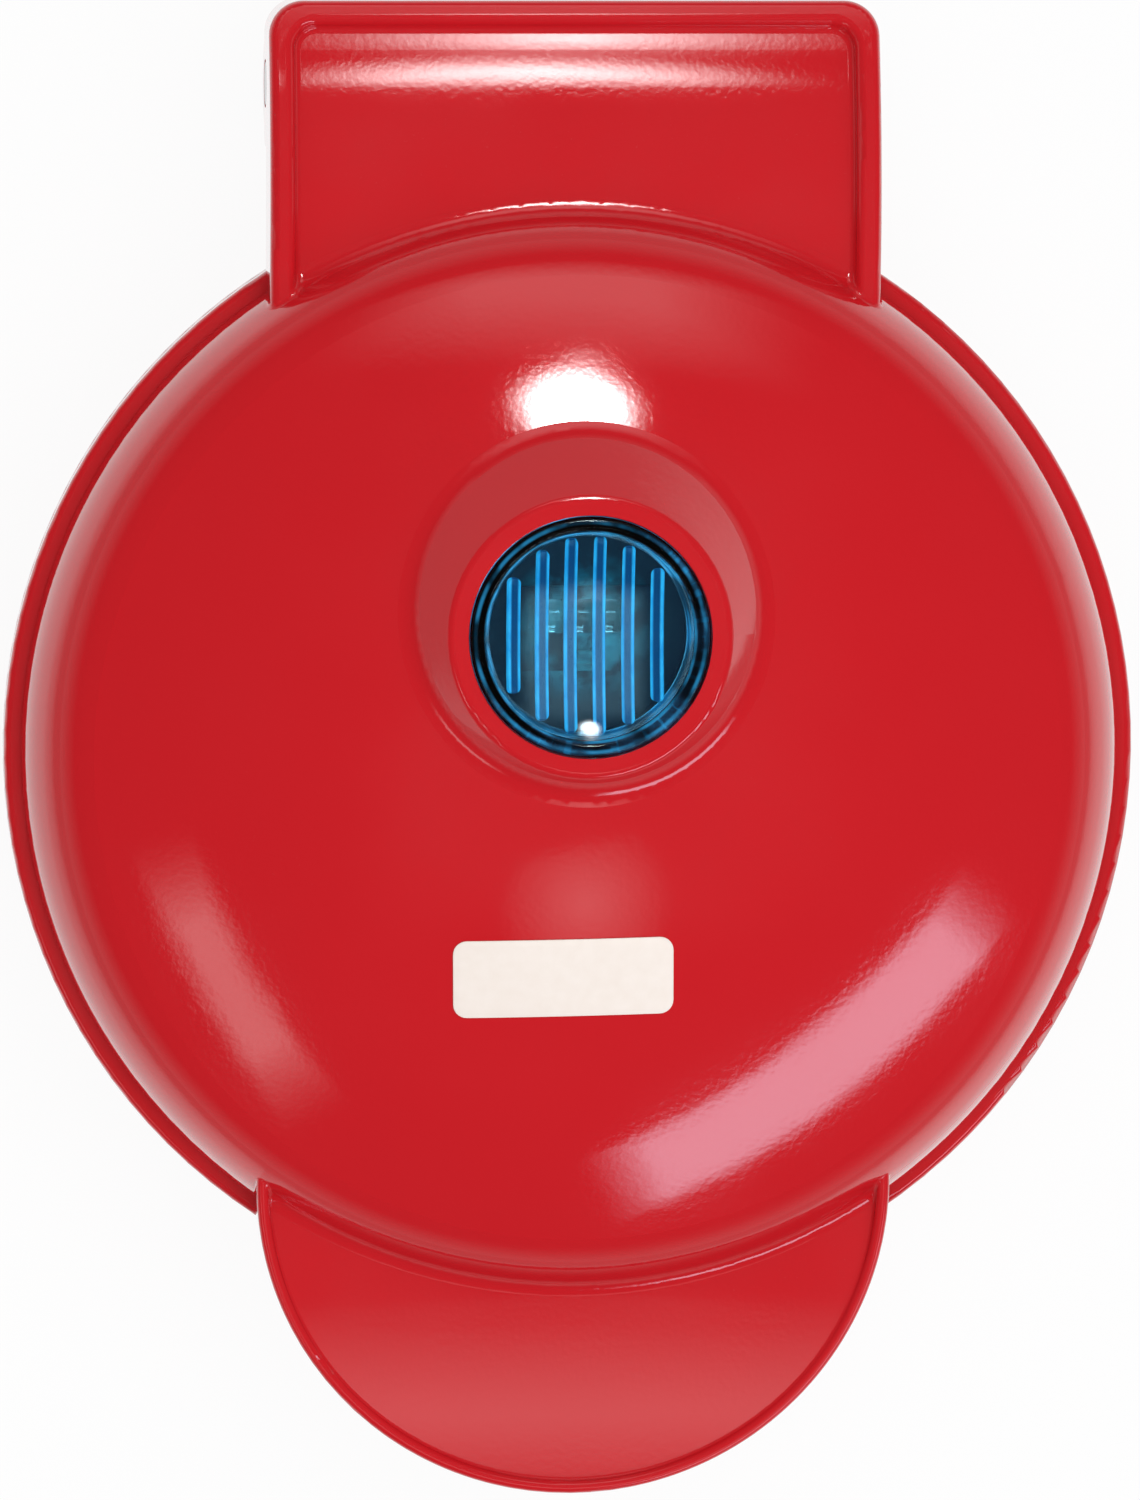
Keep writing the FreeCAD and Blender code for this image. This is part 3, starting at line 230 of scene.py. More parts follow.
def effect(name, inputs, outputs):
    """A shader node group with named sockets; returns the tree and its two end nodes."""
    tree = bpy.data.node_groups.new(name, "ShaderNodeTree")
    for label, kind, value in inputs:
        socket = tree.interface.new_socket(name=label, in_out="INPUT", socket_type=kind)
        socket.default_value = value
    for label, kind in outputs:
        tree.interface.new_socket(name=label, in_out="OUTPUT", socket_type=kind)
    return tree, tree.nodes.new("NodeGroupInput"), tree.nodes.new("NodeGroupOutput")


def noise(tree, coordinates, scale, detail, roughness=0.5):
    """Noise at a scale, which is a socket or a number."""
    node = tree.nodes.new("ShaderNodeTexNoise")
    node.inputs["Detail"].default_value = detail
    node.inputs["Roughness"].default_value = roughness
    tree.links.new(coordinates, node.inputs["Vector"])
    if hasattr(scale, "is_linked"):
        tree.links.new(scale, node.inputs["Scale"])
    else:
        node.inputs["Scale"].default_value = scale
    return node.outputs["Fac"]


def calc(tree, operation, first, second=0.0):
    """Arithmetic on two values, each a socket or a number."""
    node = tree.nodes.new("ShaderNodeMath")
    node.operation = operation
    for socket, value in zip(node.inputs, (first, second)):
        if hasattr(value, "is_linked"):
            tree.links.new(value, socket)
        else:
            socket.default_value = value
    return node.outputs[0]


def spread(tree, value, old_range, new_range):
    """Map a value from one range to another, held within the new range."""
    node = tree.nodes.new("ShaderNodeMapRange")
    tree.links.new(value, node.inputs["Value"])
    labels = ("From Min", "From Max", "To Min", "To Max")
    for label, number in zip(labels, (*old_range, *new_range)):
        node.inputs[label].default_value = number
    return node.outputs["Result"]


def tinted(tree, amount, first, second):
    """Mix two colours, each a socket or a plain colour."""
    node = tree.nodes.new("ShaderNodeMix")
    node.data_type = "RGBA"
    sockets = [s for s in node.inputs if s.enabled]
    for socket, value in zip(sockets, (amount, first, second)):
        if hasattr(value, "is_linked"):
            tree.links.new(value, socket)
        else:
            socket.default_value = (*value, 1.0)
    return [s for s in node.outputs if s.enabled][0]


def line_at(tree, value, centre, half):
    """A soft line where the value passes a centre, 1 in its middle and 0 outside its half width."""
    off = calc(tree, "ABSOLUTE", calc(tree, "SUBTRACT", value, centre))
    return spread(tree, off, (0.3 * half, half), FALLING)


def object_coordinates(tree):
    return tree.nodes.new("ShaderNodeTexCoord").outputs["Object"]


def moulding_effect():
    """Moulded plastic: a slow shift of tone, fine peel in the gloss, and a little dust."""
    tree, given, made = effect(
        "moulded plastic",
        [
            ("Colour", "NodeSocketColor", (0.5, 0.5, 0.5, 1.0)),
            ("Tone shift", "NodeSocketFloat", 0.05),
            ("Roughness", "NodeSocketFloat", 0.2),
            ("Peel scale", "NodeSocketFloat", 260.0),
            ("Dust", "NodeSocketFloat", 0.1),
        ],
        [("Colour", "NodeSocketColor"), ("Roughness", "NodeSocketFloat"), ("Height", "NodeSocketFloat")],
    )
    place = object_coordinates(tree)
    drift = noise(tree, place, scale=22.0, detail=2.0)
    bright = calc(tree, "MULTIPLY", calc(tree, "SUBTRACT", drift, 0.5), given.outputs["Tone shift"])
    bright = calc(tree, "ADD", bright, 1.0)
    shade = tree.nodes.new("ShaderNodeHueSaturation")
    tree.links.new(given.outputs["Colour"], shade.inputs["Color"])
    tree.links.new(bright, shade.inputs["Value"])
    specks = spread(tree, noise(tree, place, scale=1900.0, detail=2.0), (0.70, 0.78), FULL)
    patches = spread(tree, noise(tree, place, scale=14.0, detail=3.0), (0.45, 0.75), FULL)
    dust = calc(tree, "MULTIPLY", calc(tree, "MULTIPLY", specks, patches), given.outputs["Dust"])
    dusted = tinted(tree, dust, shade.outputs["Color"], (0.62, 0.56, 0.52))
    tree.links.new(dusted, made.inputs["Colour"])
    haze = spread(tree, noise(tree, place, scale=48.0, detail=4.0), (0.35, 0.75), (0.0, 0.045))
    gloss = calc(tree, "ADD", calc(tree, "ADD", given.outputs["Roughness"], haze), dust)
    tree.links.new(gloss, made.inputs["Roughness"])
    peel = noise(tree, place, given.outputs["Peel scale"], detail=1.0)
    tree.links.new(peel, made.inputs["Height"])
    return tree


def metal_effect():
    """Drawn or turned metal: fine lines along one way, with a stain over them."""
    tree, given, made = effect(
        "worked metal",
        [
            ("Colour", "NodeSocketColor", (0.6, 0.6, 0.6, 1.0)),
            ("Stain", "NodeSocketColor", (0.3, 0.25, 0.2, 1.0)),
            ("Stain amount", "NodeSocketFloat", 0.3),
            ("Roughness", "NodeSocketFloat", 0.3),
            ("Lines", "NodeSocketVector", (1.0, 1.0, 1.0)),
        ],
        [("Colour", "NodeSocketColor"), ("Roughness", "NodeSocketFloat"), ("Height", "NodeSocketFloat")],
    )
    place = object_coordinates(tree)
    stretch = tree.nodes.new("ShaderNodeVectorMath")
    stretch.operation = "MULTIPLY"
    tree.links.new(place, stretch.inputs[0])
    tree.links.new(given.outputs["Lines"], stretch.inputs[1])
    lines = noise(tree, stretch.outputs[0], scale=1.0, detail=3.0, roughness=0.6)
    stain = spread(tree, noise(tree, place, scale=60.0, detail=4.0), (0.42, 0.72), FULL)
    amount = calc(tree, "MULTIPLY", stain, given.outputs["Stain amount"])
    stained = tinted(tree, amount, given.outputs["Colour"], given.outputs["Stain"])
    tree.links.new(stained, made.inputs["Colour"])
    rough = calc(tree, "ADD", given.outputs["Roughness"], spread(tree, lines, NOISE_CORE, (-0.06, 0.08)))
    rough = calc(tree, "ADD", rough, calc(tree, "MULTIPLY", amount, 0.2))
    tree.links.new(rough, made.inputs["Roughness"])
    tree.links.new(lines, made.inputs["Height"])
    return tree


MOULDING = moulding_effect()
METAL = metal_effect()


# Finishes

def finish_start(name):
    material = bpy.data.materials.new(name)
    material.use_nodes = True
    tree = material.node_tree
    shader = tree.nodes["Principled BSDF"]
    return material, tree, shader


def use_effect(tree, group, **values):
    node = tree.nodes.new("ShaderNodeGroup")
    node.node_tree = group
    for label, value in values.items():
        socket = node.inputs[label.replace("_", " ")]
        if socket.type == "RGBA":
            value = (*value, 1.0)
        socket.default_value = value
    return node


def raise_surface(tree, shader, height, strength, distance):
    bump = tree.nodes.new("ShaderNodeBump")
    bump.inputs["Strength"].default_value = strength
    bump.inputs["Distance"].default_value = distance
    tree.links.new(height, bump.inputs["Height"])
    tree.links.new(bump.outputs["Normal"], shader.inputs["Normal"])


def wear_effect(tree, shader, skin, relief, depth):
    """Feed an effect's colour, roughness and height to the shader."""
    tree.links.new(skin.outputs["Colour"], shader.inputs["Base Color"])
    tree.links.new(skin.outputs["Roughness"], shader.inputs["Roughness"])
    raise_surface(tree, shader, skin.outputs["Height"], relief, depth)


def paint_light_glow(tree, shader, colour, strength):
    """Paint light on a surface: it glows faintly in its own colour, though it is no lamp."""
    tree.links.new(colour, shader.inputs["Base Color"])
    tree.links.new(colour, shader.inputs["Emission Color"])
    shader.inputs["Emission Strength"].default_value = strength


def make_clear(shader):
    shader.inputs["Transmission Weight"].default_value = 1.0
    shader.inputs["IOR"].default_value = GLASS_IOR


def moulded(name, colour, roughness, tone, peel, relief, dust=0.1):
    material, tree, shader = finish_start(name)
    skin = use_effect(
        tree, MOULDING, Colour=colour, Tone_shift=tone, Roughness=roughness, Peel_scale=peel, Dust=dust
    )
    wear_effect(tree, shader, skin, relief, PEEL_DEPTH)
    return material


def worked(name, colour, stain, stain_amount, roughness, lines):
    material, tree, shader = finish_start(name)
    shader.inputs["Metallic"].default_value = 1.0
    skin = use_effect(
        tree, METAL, Colour=colour, Stain=stain, Stain_amount=stain_amount, Roughness=roughness, Lines=lines
    )
    wear_effect(tree, shader, skin, LINE_RELIEF, FINE_DEPTH)
    return material


def red_gloss():
    material = moulded(
        "red gloss shell", (0.60, 0.010, 0.016), roughness=0.08, tone=0.06, peel=900.0, relief=0.1, dust=0.05
    )
    shader = material.node_tree.nodes["Principled BSDF"]
    shader.inputs["Coat Weight"].default_value = 1.0
    shader.inputs["Coat Roughness"].default_value = 0.04
    return material


def nonstick_coat():
    """Sprayed black coat on cast metal: pebbled, with tiny bright flecks."""
    material, tree, shader = finish_start("black nonstick coat")
    place = object_coordinates(tree)
    pebble = noise(tree, place, scale=1500.0, detail=3.0)
    flecks = spread(tree, noise(tree, place, scale=2600.0, detail=1.0), (0.72, 0.76), FULL)
    cloud = noise(tree, place, scale=30.0, detail=3.0)
    shift = spread(tree, cloud, NOISE_CORE, FULL)
    ground = tinted(tree, shift, (0.016, 0.016, 0.017), (0.030, 0.029, 0.028))
    tree.links.new(tinted(tree, flecks, ground, (0.20, 0.19, 0.18)), shader.inputs["Base Color"])
    tree.links.new(spread(tree, cloud, NOISE_CORE, (0.36, 0.50)), shader.inputs["Roughness"])
    raise_surface(tree, shader, pebble, 0.25, FINE_DEPTH)
    return material


def lens_distance(tree, place):
    """How far a place lies from the axis of the lens."""
    flat = tree.nodes.new("ShaderNodeVectorMath")
    flat.operation = "MULTIPLY"
    tree.links.new(place, flat.inputs[0])
    flat.inputs[1].default_value = (1.0, 1.0, 0.0)
    off = tree.nodes.new("ShaderNodeVectorMath")
    off.operation = "DISTANCE"
    tree.links.new(flat.outputs[0], off.inputs[0])
    off.inputs[1].default_value = (*LENS_CENTRE, 0.0)
    return off.outputs["Value"]


def lens_glass():
    """Clear blue plastic, with painted glints: broken glowing lines around its bead."""
    material, tree, shader = finish_start("blue lens")
    place = object_coordinates(tree)
    haze = noise(tree, place, scale=120.0, detail=3.0)
    deep = tinted(tree, spread(tree, haze, (0.35, 0.7), FULL), (0.40, 0.78, 0.95), (0.46, 0.84, 0.98))
    tree.links.new(deep, shader.inputs["Base Color"])
    tree.links.new(spread(tree, haze, NOISE_CORE, (0.015, 0.05)), shader.inputs["Roughness"])
    off = lens_distance(tree, place)
    outer = line_at(tree, off, OUTER_LINE, OUTER_LINE_HALF)
    inner = line_at(tree, off, INNER_LINE, INNER_LINE_HALF)
    painted_glints = spread(tree, noise(tree, place, scale=150.0, detail=2.0), (0.42, 0.60), (0.1, 1.0))
    # Painted glints: these lines glow cyan, though the lens is no lamp
    painted_glint_lines = calc(tree, "MULTIPLY", calc(tree, "MAXIMUM", outer, inner), painted_glints)
    tree.links.new(tinted(tree, painted_glint_lines, (0.0, 0.0, 0.0), (0.03, 0.36, 0.72)), shader.inputs["Emission Color"])
    shader.inputs["Emission Strength"].default_value = 0.5
    make_clear(shader)
    return material


def board_laminate():
    """Teal lacquer over woven laminate, with painted light: patches near the lens axis glow, and the rest is
    painted shade.
    """
    material, tree, shader = finish_start("teal board")
    place = object_coordinates(tree)
    fibre = noise(tree, place, scale=700.0, detail=5.0, roughness=0.7)
    # Painted light: teal patches that glow near the lens axis, standing for light through the lens;
    # elsewhere painted shade
    patches = spread(tree, noise(tree, place, scale=170.0, detail=3.0), (0.42, 0.60), FULL)
    middle = spread(tree, lens_distance(tree, place), BOARD_PAINTED_LIGHT, FALLING)
    patches = calc(tree, "MULTIPLY", patches, middle)
    lacquer = tinted(tree, spread(tree, fibre, NOISE_CORE, FULL), (0.02, 0.17, 0.22), (0.04, 0.27, 0.32))
    paint_light_glow(tree, shader, tinted(tree, patches, PAINTED_SHADE, lacquer), 0.8)
    tree.links.new(spread(tree, fibre, NOISE_CORE, (0.5, 0.65)), shader.inputs["Roughness"])
    raise_surface(tree, shader, fibre, 0.1, FINE_DEPTH)
    return material


def lamp_glass():
    """Clear glass, faintly sooted."""
    material, tree, shader = finish_start("lamp glass")
    place = object_coordinates(tree)
    soot = spread(tree, noise(tree, place, scale=260.0, detail=3.0), (0.45, 0.75), FULL)
    tree.links.new(tinted(tree, soot, (0.92, 0.93, 0.92), (0.70, 0.66, 0.60)), shader.inputs["Base Color"])
    tree.links.new(spread(tree, soot, FULL, (0.02, 0.10)), shader.inputs["Roughness"])
    make_clear(shader)
    return material


FINISHES = {
    "red_shell": red_gloss(),
    "dark_liner": moulded(
        "black liner", (0.018, 0.018, 0.019), roughness=0.42, tone=0.2, peel=1400.0, relief=0.2, dust=0.2
    ),
    "nonstick": nonstick_coat(),
    "heater_steel": worked(
        "heater tube", (0.25, 0.23, 0.21), (0.10, 0.08, 0.09), stain_amount=0.8, roughness=0.42,
        lines=(500, 500, 500),
    ),
    "insulator": moulded(
        "white insulator", (0.72, 0.68, 0.60), roughness=0.5, tone=0.1, peel=900.0, relief=0.1, dust=0.3
    ),
    "reflector": worked(
        "bright sheet", (0.80, 0.80, 0.81), (0.62, 0.58, 0.50), stain_amount=0.35, roughness=0.22,
        lines=(40, 1500, 1500),
    ),
    "lens": lens_glass(),
    "dark_plastic": moulded(
        "black fittings", (0.022, 0.022, 0.024), roughness=0.38, tone=0.2, peel=900.0, relief=0.15
    ),
    "board": board_laminate(),
    "lamp_glass": lamp_glass(),
    "fuse_body": moulded(
        "fuse coating", (0.60, 0.57, 0.50), roughness=0.4, tone=0.15, peel=1200.0, relief=0.1
    ),
    "screw_steel": worked(
        "zinc screws", (0.62, 0.61, 0.58), (0.45, 0.40, 0.30), stain_amount=0.4, roughness=0.28,
        lines=(1800, 1800, 1800),
    ),
    "pin_steel": worked(
        "turned pins", (0.60, 0.60, 0.61), (0.35, 0.33, 0.30), stain_amount=0.3, roughness=0.22,
        lines=(2500, 120, 120),
    ),
    "terminal_brass": worked(
        "brass", (0.68, 0.47, 0.18), (0.40, 0.25, 0.10), stain_amount=0.5, roughness=0.3,
        lines=(1500, 1500, 1500),
    ),
    "rubber": moulded(
        "black rubber", (0.020, 0.020, 0.020), roughness=0.72, tone=0.25, peel=800.0, relief=0.3, dust=0.5
    ),
}

for entry in frame["record"]["subparts"]:
    dress(nodes[entry["node"]], FINISHES[entry["material_slot"]])


# Lens in the collar

def traced(name, points):
    """A line of edges drawn from point to point, left open in edit mode."""
    start_clean()
    bpy.ops.mesh.primitive_plane_add(size=0.001, location=points[0])
    line = bpy.context.object
    line.name = name
    settle(line)
    open_mesh()
    bpy.ops.mesh.merge(type="CENTER")
    for here, there in zip(points, points[1:]):
        step = Vector(there) - Vector(here)
        bpy.ops.mesh.extrude_region_move(TRANSFORM_OT_translate={"value": step})
    return line


def turned_piece(name, outline):
    """Spin an outline of (radius, height) points about the lens axis."""
    points = [(LENS_CENTRE[0] + radius, LENS_CENTRE[1], height) for radius, height in outline]
    piece = traced(name, points)
    bpy.ops.mesh.select_all(action="SELECT")
    bpy.ops.mesh.spin(steps=TURN_STEPS, angle=math.tau, center=(*LENS_CENTRE, 0), axis=(0, 0, 1))
    bpy.ops.mesh.select_all(action="SELECT")
    bpy.ops.mesh.remove_doubles(threshold=MERGE_REACH)
    bpy.ops.mesh.normals_make_consistent(inside=False)
    bpy.ops.object.mode_set(mode="OBJECT")
    return piece


def arc(centre, radius, start, end, count):
    """Points along a round stretch, angles in degrees."""
    turns = [math.radians(start + (end - start) * index / count) for index in range(count + 1)]
    return [(centre[0] + radius * math.cos(turn), centre[1] + radius * math.sin(turn)) for turn in turns]


def lens_outline():
    """Half section: dish, rounded bead, outer wall, skirt and the hollow underside."""
    top = LENS_HIGH.z
    low = LENS_LOW.z
    dish_centre = (0.0, DISH_BOTTOM + DISH_RADIUS)
    lean = math.degrees(math.asin(DISH_EDGE / DISH_RADIUS))
    crest = (LENS_RADIUS - BEAD_ROUND, top - BEAD_ROUND)
    inner_crest = (DISH_EDGE + BEAD_ROUND, top - BEAD_ROUND)
    outline = arc(dish_centre, DISH_RADIUS, 270, 270 + lean, DISH_STEPS)
    outline += arc(inner_crest, BEAD_ROUND, 180, 90, BEAD_STEPS)
    outline += arc(crest, BEAD_ROUND, 90, 0, BEAD_STEPS)
    outline += [(LENS_RADIUS, LENS_SEAT), (NECK_RADIUS, LENS_SEAT), (NECK_RADIUS, low), (HOLLOW_RADIUS, low)]
    under = DISH_RADIUS + LENS_SKIN
    lean = math.degrees(math.asin(HOLLOW_RADIUS / under))
    return outline + arc(dish_centre, under, 270 + lean, 270, HOLLOW_STEPS)


def lens_body():
    body = turned_piece("lens_body", lens_outline())
    smooth(body, 40)
    dress(body, FINISHES["lens"])
    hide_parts("indicator_lens")
    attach(body, "lid")
    return body


def lens_rib_finish():
    """Blue bars with painted light: they glow, brightest along both edges, though they are no lamp."""
    material, tree, shader = finish_start("lens bars")
    place = object_coordinates(tree)
    split = tree.nodes.new("ShaderNodeSeparateXYZ")
    tree.links.new(place, split.inputs[0])
    steps = calc(tree, "DIVIDE", calc(tree, "SUBTRACT", split.outputs["X"], RIB_FIRST), RIB_PITCH)
    off = calc(tree, "SUBTRACT", steps, calc(tree, "ROUND", steps))
    off = calc(tree, "MULTIPLY", calc(tree, "ABSOLUTE", off), RIB_PITCH)
    # Painted light: each bar is bright along both edges and darker in its middle
    edge = spread(tree, off, RIB_PAINTED_EDGE_LIGHT, FULL)
    along = noise(tree, place, scale=260.0, detail=2.0)
    bright = tinted(tree, spread(tree, along, NOISE_CORE, FULL), (0.02, 0.34, 0.66), (0.06, 0.55, 0.86))
    paint_light_glow(tree, shader, tinted(tree, edge, (0.005, 0.065, 0.17), bright), 0.75)
    tree.links.new(spread(tree, along, NOISE_CORE, (0.10, 0.2)), shader.inputs["Roughness"])
    return material


def lens_rib(x):
    """One flat bar with round ends, cut across and along so that it can follow the dish."""
    half = math.sqrt(RIB_REACH ** 2 - (abs(x) + RIB_WIDTH / 2) ** 2)
    start_clean()
    centre = (LENS_CENTRE[0] + x, LENS_CENTRE[1], LENS_LOW.z)
    bpy.ops.mesh.primitive_plane_add(size=1.0, location=centre)
    bar = bpy.context.object
    bar.scale = (RIB_WIDTH, 2 * half, 1.0)
    settle(bar)
    open_mesh()
    bpy.ops.mesh.bevel(offset=RIB_CORNER, segments=4, affect="VERTICES")
    for cut in range(1, RIB_CUTS):
        level = centre[1] + half * (2 * cut / RIB_CUTS - 1)
        cut_through((centre[0], level, centre[2]), (0, 1, 0))
    for side in (-RIB_SIDE_CUT, RIB_SIDE_CUT):
        cut_through((centre[0] + side, centre[1], centre[2]), (1, 0, 0))
    bpy.ops.object.mode_set(mode="OBJECT")
    return bar


def lens_ribs(body):
    bars = [lens_rib(RIB_FIRST + RIB_PITCH * index - LENS_CENTRE[0]) for index in range(RIB_COUNT)]
    ribs = bars[0]
    join(bars, ribs)
    ribs.name = "lens_ribs"
    lay_against(ribs, body, upward=True, gap=RIB_GAP)
    thicken(ribs, RIB_DEPTH, -1.0, RIB_ROUND)
    apply_modifiers(ribs)
    smooth(ribs, 40)
    dress(ribs, lens_rib_finish())
    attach(ribs, "lid")


def lamp_cup_finish():
    """Dark cup with painted light: its floor glows in broken teal patches near the lens axis, and is painted
    shade elsewhere.
    """
    material, tree, shader = finish_start("lamp cup")
    place = object_coordinates(tree)
    # Painted light: a broken teal glow near the lens axis, painted shade further out
    middle = spread(tree, lens_distance(tree, place), CUP_PAINTED_LIGHT, FALLING)
    cloud = spread(tree, noise(tree, place, scale=150.0, detail=3.0, roughness=0.6), (0.40, 0.58), FULL)
    grain = noise(tree, place, scale=2200.0, detail=2.0)
    glow = calc(tree, "MULTIPLY", middle, cloud)
    teal = tinted(tree, spread(tree, grain, NOISE_CORE, FULL), (0.015, 0.20, 0.28), (0.03, 0.32, 0.40))
    paint_light_glow(tree, shader, tinted(tree, glow, PAINTED_SHADE, teal), 0.7)
    tree.links.new(spread(tree, grain, NOISE_CORE, (0.4, 0.55)), shader.inputs["Roughness"])
    return material


lens_ribs(lens_body())
dress(nodes["lamp_cup"], lamp_cup_finish())


# Screws that show, each with a cross in its head

def cross_arm(place, turn):
    """A rounded bar that presses one arm of the cross."""
    start_clean()
    bpy.ops.mesh.primitive_cube_add(size=1.0, location=place, rotation=(0, 0, turn))
    arm = bpy.context.object
    arm.scale = CROSS_ARM
    settle(arm)
    open_mesh()
    bpy.ops.mesh.bevel(offset=CROSS_ROUND, segments=2)
    bpy.ops.object.mode_set(mode="OBJECT")
    return arm


def press_cross(screw, face, turn):
    """Cut a cross into one screw, whose head lies at a height."""
    corners = [Vector(corner) for corner in screw.bound_box]
    middle = sum(corners, Vector()) / len(corners)
    for arm_turn in (turn, turn + math.pi / 2):
        arm = cross_arm((middle.x, middle.y, face), arm_turn)
        cut = screw.modifiers.new("cross", "BOOLEAN")
        cut.operation = "DIFFERENCE"
        cut.object = arm
        apply_modifiers(screw)
        bpy.data.objects.remove(arm)


def crossed_screws(node, body, heads_up):
    """A node's screws with pressed crosses, each turned as it was driven."""
    low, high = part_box(node)
    face = high[2] if heads_up else low[2]
    screws = bpy.data.objects.new(node + "_crossed", nodes[node].data.copy())
    bpy.context.scene.collection.objects.link(screws)
    take(screws)
    bpy.ops.mesh.customdata_custom_splitnormals_clear()
    open_mesh()
    bpy.ops.mesh.remove_doubles(threshold=MERGE_REACH)
    bpy.ops.mesh.separate(type="LOOSE")
    bpy.ops.object.mode_set(mode="OBJECT")
    singles = list(bpy.context.selected_objects)
    for index, single in enumerate(singles):
        press_cross(single, face, DRIVEN_TURN * index)
    join(singles, screws)
    smooth(screws, 30)
    dress(screws, FINISHES["screw_steel"])
    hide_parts(node)
    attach(screws, body)


crossed_screws("lid_screws", "lid", heads_up=False)
crossed_screws("lid_grip_screws", "lid", heads_up=False)
crossed_screws("base_screws", "base", heads_up=False)
crossed_screws("base_grip_screws", "base", heads_up=True)


# Badge on the dome, a plain cream plate

def cream_plate_finish():
    material, tree, shader = finish_start("cream plate")
    place = object_coordinates(tree)
    grain = noise(tree, place, scale=420.0, detail=4.0)
    shift = spread(tree, grain, NOISE_CORE, FULL)
    cream = tinted(tree, shift, (0.895, 0.795, 0.72), (0.92, 0.825, 0.755))
    tree.links.new(cream, shader.inputs["Base Color"])
    tree.links.new(spread(tree, grain, NOISE_CORE, (0.30, 0.42)), shader.inputs["Roughness"])
    raise_surface(tree, shader, grain, 0.08, FINE_DEPTH)
    return material


def badge():
    """A thin plate with round corners, laid on the dome."""
    start_clean()
    start = (*BADGE_PLACE, ABOVE_DOME)
    bpy.ops.mesh.primitive_plane_add(size=1.0, location=start, rotation=(0, 0, BADGE_TURN))
    plate = bpy.context.object
    plate.name = "badge"
    plate.scale = (*BADGE_SIZE, 1.0)
    settle(plate)
    open_mesh()
    bpy.ops.mesh.bevel(offset=BADGE_CORNER, segments=7, affect="VERTICES")
    for axis, count in enumerate(BADGE_CUTS):
        half = BADGE_SIZE[axis] / 2
        for step in range(1, count):
            place = list(start)
            place[axis] += half * (2 * step / count - 1)
            cut_through(place, (axis == 0, axis == 1, 0))
    bpy.ops.object.mode_set(mode="OBJECT")
    lay_against(plate, nodes["lid_shell"], upward=False, gap=BADGE_GAP)
    thicken(plate, BADGE_THICKNESS, 1.0, BADGE_ROUND)
    apply_modifiers(plate)
    smooth(plate, 50)
    dress(plate, cream_plate_finish())
    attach(plate, "lid")


badge()


# Floor, camera and light

def floor_finish():
    """A white floor that keeps the object's shadow, faintly; in reflections it shows a painted pool of
    light, glowing brightest near the middle.
    """
    material, tree, shader = finish_start("white floor")
    shader.inputs["Base Color"].default_value = (0.86, 0.86, 0.86, 1.0)
    shader.inputs["Roughness"].default_value = 0.8
    place = object_coordinates(tree)
    length = tree.nodes.new("ShaderNodeVectorMath")
    length.operation = "LENGTH"
    tree.links.new(place, length.inputs[0])
    # Painted pool of light: reflections see the floor glow, brightest near the middle
    painted_pool = spread(tree, length.outputs["Value"], PAINTED_POOL_EDGE, PAINTED_POOL_LEVELS)
    glow = tree.nodes.new("ShaderNodeEmission")
    path = tree.nodes.new("ShaderNodeLightPath")
    tree.links.new(calc(tree, "MAXIMUM", painted_pool, path.outputs["Is Camera Ray"]), glow.inputs["Strength"])
    seen = calc(tree, "MAXIMUM", path.outputs["Is Camera Ray"], path.outputs["Is Glossy Ray"])
    seen = calc(tree, "MAXIMUM", seen, path.outputs["Is Transmission Ray"])
    mix = tree.nodes.new("ShaderNodeMixShader")
    tree.links.new(calc(tree, "MULTIPLY", seen, FLOOR_GLOW), mix.inputs[0])
    tree.links.new(shader.outputs[0], mix.inputs[1])
    tree.links.new(glow.outputs[0], mix.inputs[2])
    tree.links.new(mix.outputs[0], tree.nodes["Material Output"].inputs["Surface"])
    return material


def white_floor():
    start_clean()
    bpy.ops.mesh.primitive_plane_add(size=FLOOR_SIZE, location=(0, 0, 0))
    floor = bpy.context.object
    floor.name = "floor"
    dress(floor, floor_finish())


def facing(place, target, up):
    """A matrix at a place whose -Z axis looks at the target."""
    back = (Vector(place) - Vector(target)).normalized()
    right = Vector(up).cross(back).normalized()
    top = back.cross(right)
    turn = Matrix((right, top, back)).transposed().to_4x4()
    return Matrix.Translation(place) @ turn


def photo_camera():
    """Nearly straight down, from a little behind and to the left."""
    data = bpy.data.cameras.new("camera")
    camera = bpy.data.objects.new("camera", data)
    bpy.context.scene.collection.objects.link(camera)
    aside = math.sin(VIEW_LEAN)
    away = Vector((VIEW_SIDE[0] * aside, VIEW_SIDE[1] * aside, math.cos(VIEW_LEAN)))
    camera.matrix_world = facing(VIEW_TARGET + away * VIEW_DISTANCE, VIEW_TARGET, VIEW_UP)
    data.sensor_width = SENSOR_WIDTH
    data.lens = SENSOR_WIDTH * VIEW_DISTANCE / VIEW_LENGTH
    data.clip_end = 30.0
    bpy.context.scene.camera = camera


def soften(data, edge, oval):
    """Let a lamp's brightness fall off toward its sides, or outward from its middle."""
    data.use_nodes = True
    tree = data.node_tree
    split = tree.nodes.new("ShaderNodeSeparateXYZ")
    tree.links.new(tree.nodes.new("ShaderNodeNewGeometry").outputs["Parametric"], split.inputs[0])
    offs = []
    for axis in ("X", "Y"):
        twice = calc(tree, "MULTIPLY", split.outputs[axis], 2.0)
        offs.append(calc(tree, "ABSOLUTE", calc(tree, "SUBTRACT", twice, 1.0)))
    if oval:
        squares = [calc(tree, "MULTIPLY", off, off) for off in offs]
        offs = [calc(tree, "SQRT", calc(tree, "ADD", *squares))]
    else:
        offs = [calc(tree, "MAXIMUM", *offs), offs[0]]
    fades = [spread(tree, off, (1.0 - edge, 1.0), FALLING) for off in offs]
    level = calc(tree, "MULTIPLY", fades[0], fades[-1])
    tree.links.new(level, tree.nodes["Emission"].inputs["Strength"])


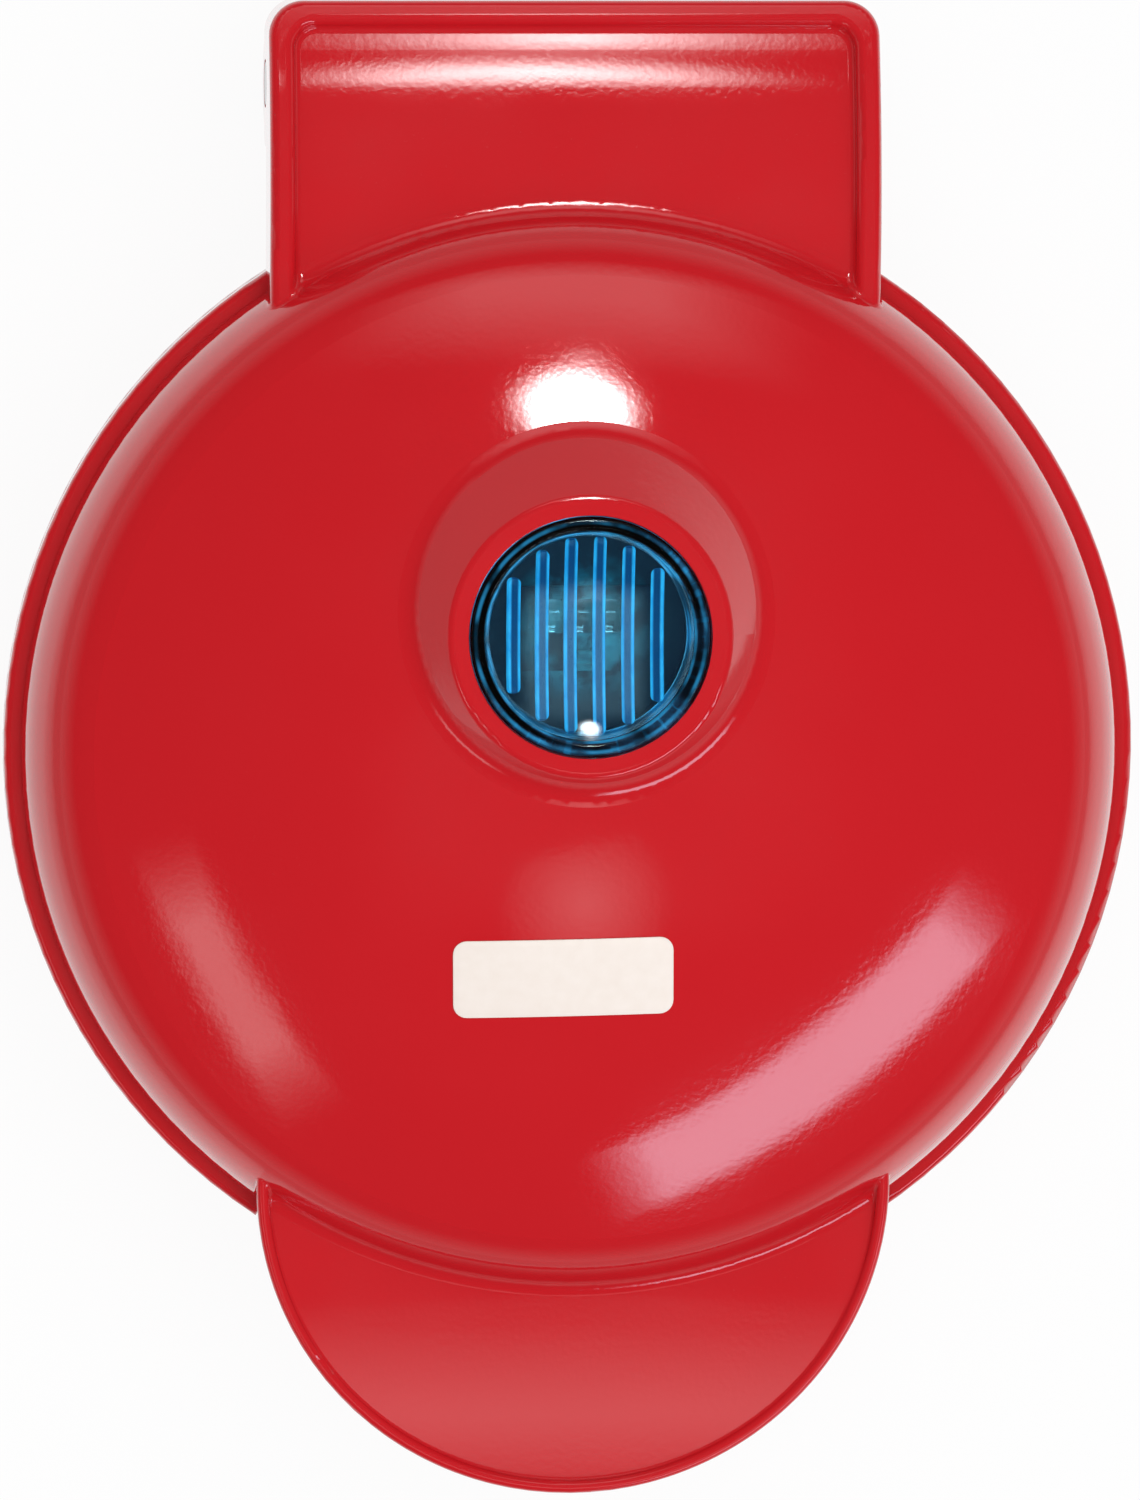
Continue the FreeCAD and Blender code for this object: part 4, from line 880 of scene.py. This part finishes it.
def softbox(
    name, target, toward, distance, size, radiance, edge, oval=False,
    up=(0, 0, 1), colour=(1, 1, 1), cone=None, mirror=False,
):
    """A lamp seen from a target in a direction, with its size and its brightness per area.

    A cone, in degrees, narrows its beam, and a mirror lamp shows only in reflections.
    """
    data = bpy.data.lights.new(name, "AREA")
    data.shape = "RECTANGLE"
    data.size, data.size_y = size
    data.energy = radiance * math.pi * data.size * data.size_y
    data.color = colour
    if cone:
        # A narrow cone gathers the same power, so it is brighter along its axis
        half = math.radians(cone) / 2
        data.spread = 2 * half
        data.energy *= 1 - half / math.tan(half)
    lamp = bpy.data.objects.new(name, data)
    bpy.context.scene.collection.objects.link(lamp)
    place = Vector(target) + Vector(toward).normalized() * distance
    lamp.matrix_world = facing(place, target, up)
    lamp.visible_camera = False
    lamp.visible_diffuse = not mirror
    soften(data, edge, oval)
    return lamp


def studio_world():
    """Even soft light, mirrored as a bright horizon under a dim ceiling."""
    world = bpy.data.worlds.new("studio")
    bpy.context.scene.world = world
    world.use_nodes = True
    tree = world.node_tree
    background = tree.nodes["Background"]
    place = tree.nodes.new("ShaderNodeTexCoord").outputs["Generated"]
    split = tree.nodes.new("ShaderNodeSeparateXYZ")
    tree.links.new(place, split.inputs[0])
    mirrored = spread(tree, split.outputs["Z"], HORIZON_BAND, HORIZON_LEVELS)
    path = tree.nodes.new("ShaderNodeLightPath")
    level = tinted(tree, path.outputs["Is Diffuse Ray"], mirrored, (0.5, 0.5, 0.5))
    level = tinted(tree, path.outputs["Is Camera Ray"], level, (1.0, 1.0, 1.0))
    tree.links.new(level, background.inputs["Color"])


white_floor()
photo_camera()
studio_world()

softbox(
    "dome glint", DOME_BACK, toward=(0.066, 0.562, 0.824), distance=0.32, size=(0.125, 0.080),
    radiance=46.0, edge=0.5, oval=True, cone=22, mirror=True,
)
softbox(
    "hood glint", HOOD_TOP, toward=(0.081, 0.565, 0.820), distance=0.45, size=(0.14, 0.13),
    radiance=16.0, edge=1.0, oval=True, cone=14, mirror=True,
)
softbox(
    "lens glint", LENS_FRONT, toward=(0.081, 0.555, 0.828), distance=0.35, size=(0.07, 0.05),
    radiance=45.0, edge=0.5, oval=True, cone=14, mirror=True,
)
softbox(
    "key body", MIDDLE, toward=(0.05, 0.80, 0.60), distance=1.4, size=(1.60, 0.60),
    radiance=0.8, edge=0.7,
)
softbox(
    "right strip", MIDDLE, toward=(0.49, -0.640, 0.592), distance=1.3, size=(1.25, 0.25),
    radiance=3.6, edge=0.3, colour=COOL,
)
softbox(
    "left strip", MIDDLE, toward=(-0.563, -0.507, 0.652), distance=1.3, size=(0.85, 0.20),
    radiance=1.5, edge=0.6, up=(0.13, -0.12, 1),
)
softbox(
    "grip sheen", GRIP_TOP, toward=(0.081, -0.36, 0.93), distance=0.5, size=(0.26, 0.34),
    radiance=0.95, edge=0.10, cone=19, mirror=True,
)
fill = softbox(
    "overhead fill", MIDDLE, toward=(0.12, 0.05, 1.0), distance=1.4, size=(1.6, 1.6),
    radiance=2.2, edge=0.3, up=(0, 1, 0),
)
fill.visible_glossy = False

bpy.context.scene.view_settings.view_transform = "Standard"
